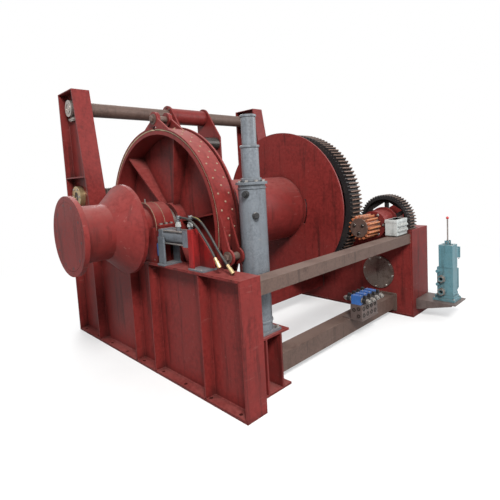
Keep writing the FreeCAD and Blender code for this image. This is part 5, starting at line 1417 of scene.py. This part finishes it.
@dataclass
class ControlDress:
    """Fittings of the junction box, the manifold and the hand valve."""

    shop: Paintshop
    gland: Profile = ((-0.001, 0), (-0.001, 0.017), (0.008, 0.017), (0.008, 0.015), (0.022, 0.015),
                      (0.026, 0.011), (0.026, 0.007), (0.018, 0.007), (0.018, 0))
    gland_rows: tuple[float, ...] = (0.072, 0.132)
    gland_start: float = 0.035
    gland_pitch: float = 0.04
    lid_screw: Profile = ((-0.001, 0), (-0.001, 0.006), (0.003, 0.006), (0.0036, 0.005), (0.0036, 0))
    lid_screw_inset: float = 0.012
    lid_drop: float = 0.004
    lid_depth: float = 0.038
    lid_lip: float = 0.005
    lid_panel_inset: float = 0.02
    wide_port: Profile = ((-0.001, 0), (-0.001, 0.024), (0.005, 0.024), (0.005, 0.015), (-0.0008, 0.013),
                          (-0.0008, 0))
    side_port: Profile = ((-0.001, 0), (-0.001, 0.02), (0.006, 0.02), (0.006, 0.012), (-0.0008, 0.011),
                          (-0.0008, 0))
    side_ports: Profile = ((0.045, 0.05), (0.1, 0.11), (0.045, 0.13))
    port_sink: float = 0.007
    port_start: float = 0.05
    port_pitch: float = 0.08
    coil_nut: Profile = ((-0.02, 0), (-0.02, 0.0285), (-0.004, 0.0285), (0.0, 0.024), (0.012, 0.022),
                         (0.014, 0.012), (0.024, 0.012), (0.024, 0))
    coil_band: Profile = ((-0.078, 0), (-0.078, 0.0295), (-0.066, 0.0295), (-0.066, 0))
    valve_half: float = 0.029
    valve_count: int = 4
    plug_back: float = 0.045
    plug_low: Point = (-0.015, -0.017, 0.02)
    plug_high: Point = (0.015, 0.017, 0.058)
    foot_spread: float = 0.1
    foot_inset: float = 0.014
    foot_plate: float = 0.03
    face_drop: float = 0.215
    face_spread: tuple[float, float] = (0.04, 0.05)
    face_stud: Profile = ((-0.001, 0), (-0.001, 0.014), (0.02, 0.014), (0.02, 0.008), (0.03, 0.008),
                          (0.03, 0))
    top_spread: float = 0.06
    top_bolt: tuple[float, float] = (0.05, 0.052)
    port_nut: Profile = ((-0.02, 0.03), (-0.02, 0.047), (0.004, 0.05), (0.01, 0.047), (0.01, 0.03))
    port_sleeve: Profile = ((-0.036, 0.03), (-0.036, 0.0375), (-0.022, 0.0375), (-0.022, 0.03))
    port_seat: tuple[float, float] = (0.03, 0.148)
    port_levels: tuple[float, ...] = (0.33, 0.49)
    rib_start: float = 0.083
    rib_pitch: float = 0.0125
    rib_low: Point = (0.0, 0.036, 0.345)
    rib_high: Point = (0.006, 0.044, 0.59)
    strip_low: Point = (-0.078, 0.022, 0.286)
    strip_high: Point = (0.078, 0.03, 0.315)

    def build(self) -> None:
        """Fit out the junction box, the manifold and the hand valve."""
        self.junction_box()
        self.manifold_ports()
        self.solenoids()
        self.valve_bolts()
        self.valve_nuts()
        self.valve_ribs()

    def junction_box(self) -> None:
        """Cable glands in two rows, the lid and its screws."""
        box = Box.of("junction_box")
        glands = Stock("junction_box_glands")
        for rise in self.gland_rows:
            for number in range(6):
                x = box.low.x + self.gland_start + self.gland_pitch * number
                glands.lathe(self.gland, Vector((x, box.low.y, box.low.z + rise)), -Y_AXIS, 6)
        glands.done(self.shop, PALE, Body.BASE)
        lid = Stock("junction_box_lid")
        low, high = box.low, box.high
        lip, inset = self.lid_lip, self.lid_panel_inset
        lid.block((low.x - lip, low.y - lip, high.z - self.lid_depth),
                  (high.x + lip, high.y + lip, high.z - self.lid_drop), 0.004)
        lid.block((low.x + inset, low.y + inset, high.z - 0.006), (high.x - inset, high.y - inset, high.z),
                  0.003)
        lid.done(self.shop, PALE, Body.BASE)
        screws = Stock("junction_box_screws")
        inset = self.lid_screw_inset
        for x in (low.x + inset, high.x - inset):
            for y in (low.y + inset, high.y - inset):
                screws.lathe(self.lid_screw, Vector((x, y, high.z - self.lid_drop)), Z_AXIS, 12)
        screws.done(self.shop, ZINC, Body.BASE)

    def manifold_ports(self) -> None:
        """Ports on the block's front and on its end."""
        block = Box.of("valve_manifold").low
        top = Box.of("manifold_valves").low.z
        ports = Stock("manifold_ports")
        for number in range(self.valve_count):
            x = block.x + self.port_start + self.port_pitch * number
            for z in (block.z + 0.055, top - 0.045):
                ports.lathe(self.wide_port, Vector((x, block.y + self.port_sink, z)), -Y_AXIS, 24)
        for y, z in self.side_ports:
            ports.lathe(self.side_port, block + Vector((self.port_sink, y, z)), -X_AXIS, 24)
        ports.done(self.shop, GREASE, Body.BASE)

    def solenoids(self) -> None:
        """The solenoids' nuts, bands and plugs, and the valves' screws."""
        valves = Box.of("manifold_valves")
        coils = Box.of("valve_solenoids")
        silver = Stock("solenoid_nuts")
        plugs = Stock("solenoid_plugs")
        pitch = (valves.high.x - valves.low.x - self.valve_half * 2) / (self.valve_count - 1)
        for number in range(self.valve_count):
            x = valves.low.x + self.valve_half + pitch * number
            for y, out in ((coils.low.y, -Y_AXIS), (coils.high.y, Y_AXIS)):
                seat = Vector((x, y, coils.middle.z))
                silver.lathe(self.coil_nut, seat, out, 24)
                silver.lathe(self.coil_band, seat, out, 24)
                middle = seat - out * self.plug_back
                plugs.block(middle + Vector(self.plug_low), middle + Vector(self.plug_high), 0.004)
            for y in (valves.low.y + 0.015, valves.high.y - 0.015):
                silver.bolt(Vector((x, y, valves.high.z)), Z_AXIS, 0.008, washer=False)
        silver.done(self.shop, ZINC, Body.BASE)
        plugs.done(self.shop, BLACK, Body.BASE)

    def valve_bolts(self) -> None:
        """The hand valve's foot bolts, its side cover's bolts and stud, and its top bolts."""
        valve = Box.of("control_valve")
        lever = Box.of("control_lever").middle
        foot_z = Box.of("control_shelf").high.z + self.foot_plate
        bolts = Stock("hand_valve_bolts")
        for x in (lever.x - self.foot_spread, lever.x + self.foot_spread):
            for y in (valve.low.y + self.foot_inset, valve.high.y - self.foot_inset):
                bolts.bolt(Vector((x, y, foot_z)), Z_AXIS, 0.011)
        face = Vector((valve.high.x, lever.y, valve.high.z - self.face_drop))
        spread_y, spread_z = self.face_spread
        for y in (-spread_y, spread_y):
            for z in (-spread_z, spread_z):
                bolts.bolt(face + Vector((0, y, z)), X_AXIS, 0.008, washer=False)
        bolts.lathe(self.face_stud, face, X_AXIS, 6)
        setback, drop = self.top_bolt
        for x in (lever.x - self.top_spread, lever.x + self.top_spread):
            bolts.bolt(Vector((x, valve.low.y + setback, valve.high.z - drop)), Z_AXIS, 0.008, washer=False)
        bolts.done(self.shop, ZINC, Body.BASE)

    def valve_nuts(self) -> None:
        """The union nuts on the hand valve's two side ports."""
        valve = Box.of("control_valve").low
        inset, setback = self.port_seat
        nuts = Stock("hand_valve_port_nuts")
        for z in self.port_levels:
            seat = Vector((valve.x + inset, valve.y + setback, z))
            nuts.hoop(self.port_nut, seat, X_AXIS, 6)
            nuts.hoop(self.port_sleeve, seat, X_AXIS, 28)
        nuts.done(self.shop, STEEL, Body.BASE)

    def valve_ribs(self) -> None:
        """The ribs on the hand valve's side case and the strip under it."""
        corner = Vector((Box.of("control_lever").middle.x, Box.of("control_valve").low.y, 0))
        ribs = Stock("hand_valve_case_ribs")
        for number in range(6):
            place = corner + X_AXIS * (self.rib_start + self.rib_pitch * number)
            ribs.block(place + Vector(self.rib_low), place + Vector(self.rib_high), 0.002)
        ribs.block(corner + Vector(self.strip_low), corner + Vector(self.strip_high), 0.003)
        ribs.done(self.shop, TEAL, Body.BASE)


# ----------------------------------------------------------------------------------------
# Studio
# ----------------------------------------------------------------------------------------
@dataclass(frozen=True)
class Viewpoint:
    """Where the camera stands and how it looks."""

    place: Point = (-2.0188, -3.5153, 1.8391)
    yaw: float = 43.94
    pitch: float = -5.14
    roll: float = -3.30
    lens: float = 28.8612
    shift: tuple[float, float] = (0.005, -0.0708)
    sensor: float = 36.0
    reach: float = 200.0

    def build(self) -> bpy.types.Object:
        """Make the scene's camera.

        Returns:
            The camera object.
        """
        yaw, pitch, roll = (math.radians(angle) for angle in (self.yaw, self.pitch, self.roll))
        ahead = Vector((math.sin(yaw) * math.cos(pitch), math.cos(yaw) * math.cos(pitch), math.sin(pitch)))
        level = Vector((math.cos(yaw), -math.sin(yaw), 0))
        above = level.cross(ahead)
        right = level * math.cos(roll) + above * math.sin(roll)
        up = above * math.cos(roll) - level * math.sin(roll)
        data = bpy.data.cameras.new("camera")
        data.sensor_width = self.sensor
        data.lens = self.lens
        data.shift_x, data.shift_y = self.shift
        data.clip_end = self.reach
        camera = bpy.data.objects.new("camera", data)
        turn = Matrix((right, up, -ahead)).transposed().to_4x4()
        camera.matrix_world = Matrix.Translation(self.place) @ turn
        bpy.context.scene.collection.objects.link(camera)
        bpy.context.scene.camera = camera
        return camera


@dataclass(frozen=True)
class Softbox:
    """One large soft lamp."""

    name: str
    place: Point
    target: Point
    size: float
    power: float
    tint: Colour = (1.0, 1.0, 1.0)

    def build(self) -> None:
        """Hang the lamp."""
        data = bpy.data.lights.new(self.name, "AREA")
        data.shape = "DISK"
        data.size = self.size
        data.energy = self.power
        data.color = self.tint
        lamp = bpy.data.objects.new(self.name, data)
        lamp.location = self.place
        lamp.rotation_euler = (Vector(self.target) - Vector(self.place)).to_track_quat("-Z", "Y").to_euler()
        bpy.context.scene.collection.objects.link(lamp)


@dataclass
class Studio:
    """The pale floor, the lamps and the white surroundings."""

    floor_size: float = 80.0
    floor_colour: Colour = (0.86, 0.86, 0.86)
    floor_shade: Colour = (0.8342, 0.8342, 0.8342)
    middle: Point = (1.4, 0.0, 0.0)
    fade: tuple[float, float] = (1.5, 7.0)
    bounce: Colour = (0.34, 0.34, 0.34)
    sky: Colour = (0.93, 0.96, 1.0)
    sky_strength: float = 0.5
    lamps: tuple[Softbox, ...] = (
        Softbox("key", (-4.0, -7.0, 7.5), (1.4, 0.0, 1.2), 3.0, 1500.0, (1.0, 0.99, 0.97)),
        Softbox("fill", (7.0, -6.0, 5.0), (1.6, 0.0, 1.2), 6.0, 300.0, (0.95, 0.98, 1.0)),
        Softbox("rim", (3.0, 8.0, 7.0), (1.4, 0.0, 1.6), 5.0, 500.0),
    )

    def build(self) -> None:
        """Set up everything that isn't part of the winch."""
        for lamp in self.lamps:
            lamp.build()
        self.surround()
        self.floor()
        bpy.context.scene.view_settings.view_transform = "Standard"

    def surround(self) -> None:
        """White where it is seen or reflected, a soft sky as a light."""
        world = bpy.data.worlds.new("surround")
        bpy.context.scene.world = world
        world.use_nodes = True
        graph = Graph(world.node_tree)
        rays = graph.node("LightPath")
        seen = graph.maths("MAXIMUM", rays.outputs["Is Camera Ray"], rays.outputs["Is Glossy Ray"])
        seen = graph.maths("MAXIMUM", seen, rays.outputs["Is Transmission Ray"])
        light = graph.node("Background", {"Color": self.sky, "Strength": self.sky_strength})
        white = graph.node("Background", {"Color": (1.0, 1.0, 1.0), "Strength": 1.0})
        both = graph.node("MixShader", {0: seen, 1: light.outputs[0], 2: white.outputs[0]})
        graph.node("OutputWorld", {"Surface": both.outputs[0]})

    def floor(self) -> None:
        """A plain pale floor that fades into the surroundings and keeps the shadow."""
        mesh = bpy.data.meshes.new("floor")
        half = self.floor_size / 2
        corners = [(-half, -half, 0), (half, -half, 0), (half, half, 0), (-half, half, 0)]
        mesh.from_pydata(corners, [], [(0, 1, 2, 3)])
        floor = bpy.data.objects.new("floor", mesh)
        bpy.context.scene.collection.objects.link(floor)
        material = bpy.data.materials.new("pale floor")
        material.use_nodes = True
        graph = Graph(material.node_tree)
        where = graph.node("TexCoord").outputs["Object"]
        away = graph.node("VectorMath", {0: where, 1: self.middle}, operation="DISTANCE").outputs["Value"]
        far = graph.ramp(away, *self.fade, 0.45, 1.0)
        rays = graph.node("LightPath").outputs["Is Camera Ray"]
        grain = graph.noise(where, 3.0)
        tone = graph.blend(graph.ramp(grain, 0.3, 0.7), self.floor_colour, self.floor_shade)
        tone = graph.blend(rays, self.bounce, tone)
        matt = graph.node("BsdfPrincipled", {"Base Color": tone, "Roughness": 0.8})
        glow = graph.node("Emission", {"Color": (1.0, 1.0, 1.0), "Strength": 1.0})
        both = graph.node("MixShader", {0: graph.times(far, rays), 1: matt.outputs[0], 2: glow.outputs[0]})
        graph.node("OutputMaterial", {"Surface": both.outputs[0]})
        mesh.materials.append(material)


def main() -> None:
    """Build the camera, the finishes, the fittings and the studio."""
    logging.basicConfig(level=logging.INFO, format="%(message)s")
    Viewpoint().build()
    shop = Paintshop()
    Coats(shop).dress()
    ClutchDress(shop).build()
    assemblies = (FrameWelds(shop), BearingDress(shop), BrakeDress(shop), GearDress(shop),
                  SpoolingDress(shop), ControlDress(shop))
    for assembly in assemblies:
        assembly.build()
    Studio().build()


if __name__ == "__main__":
    main()
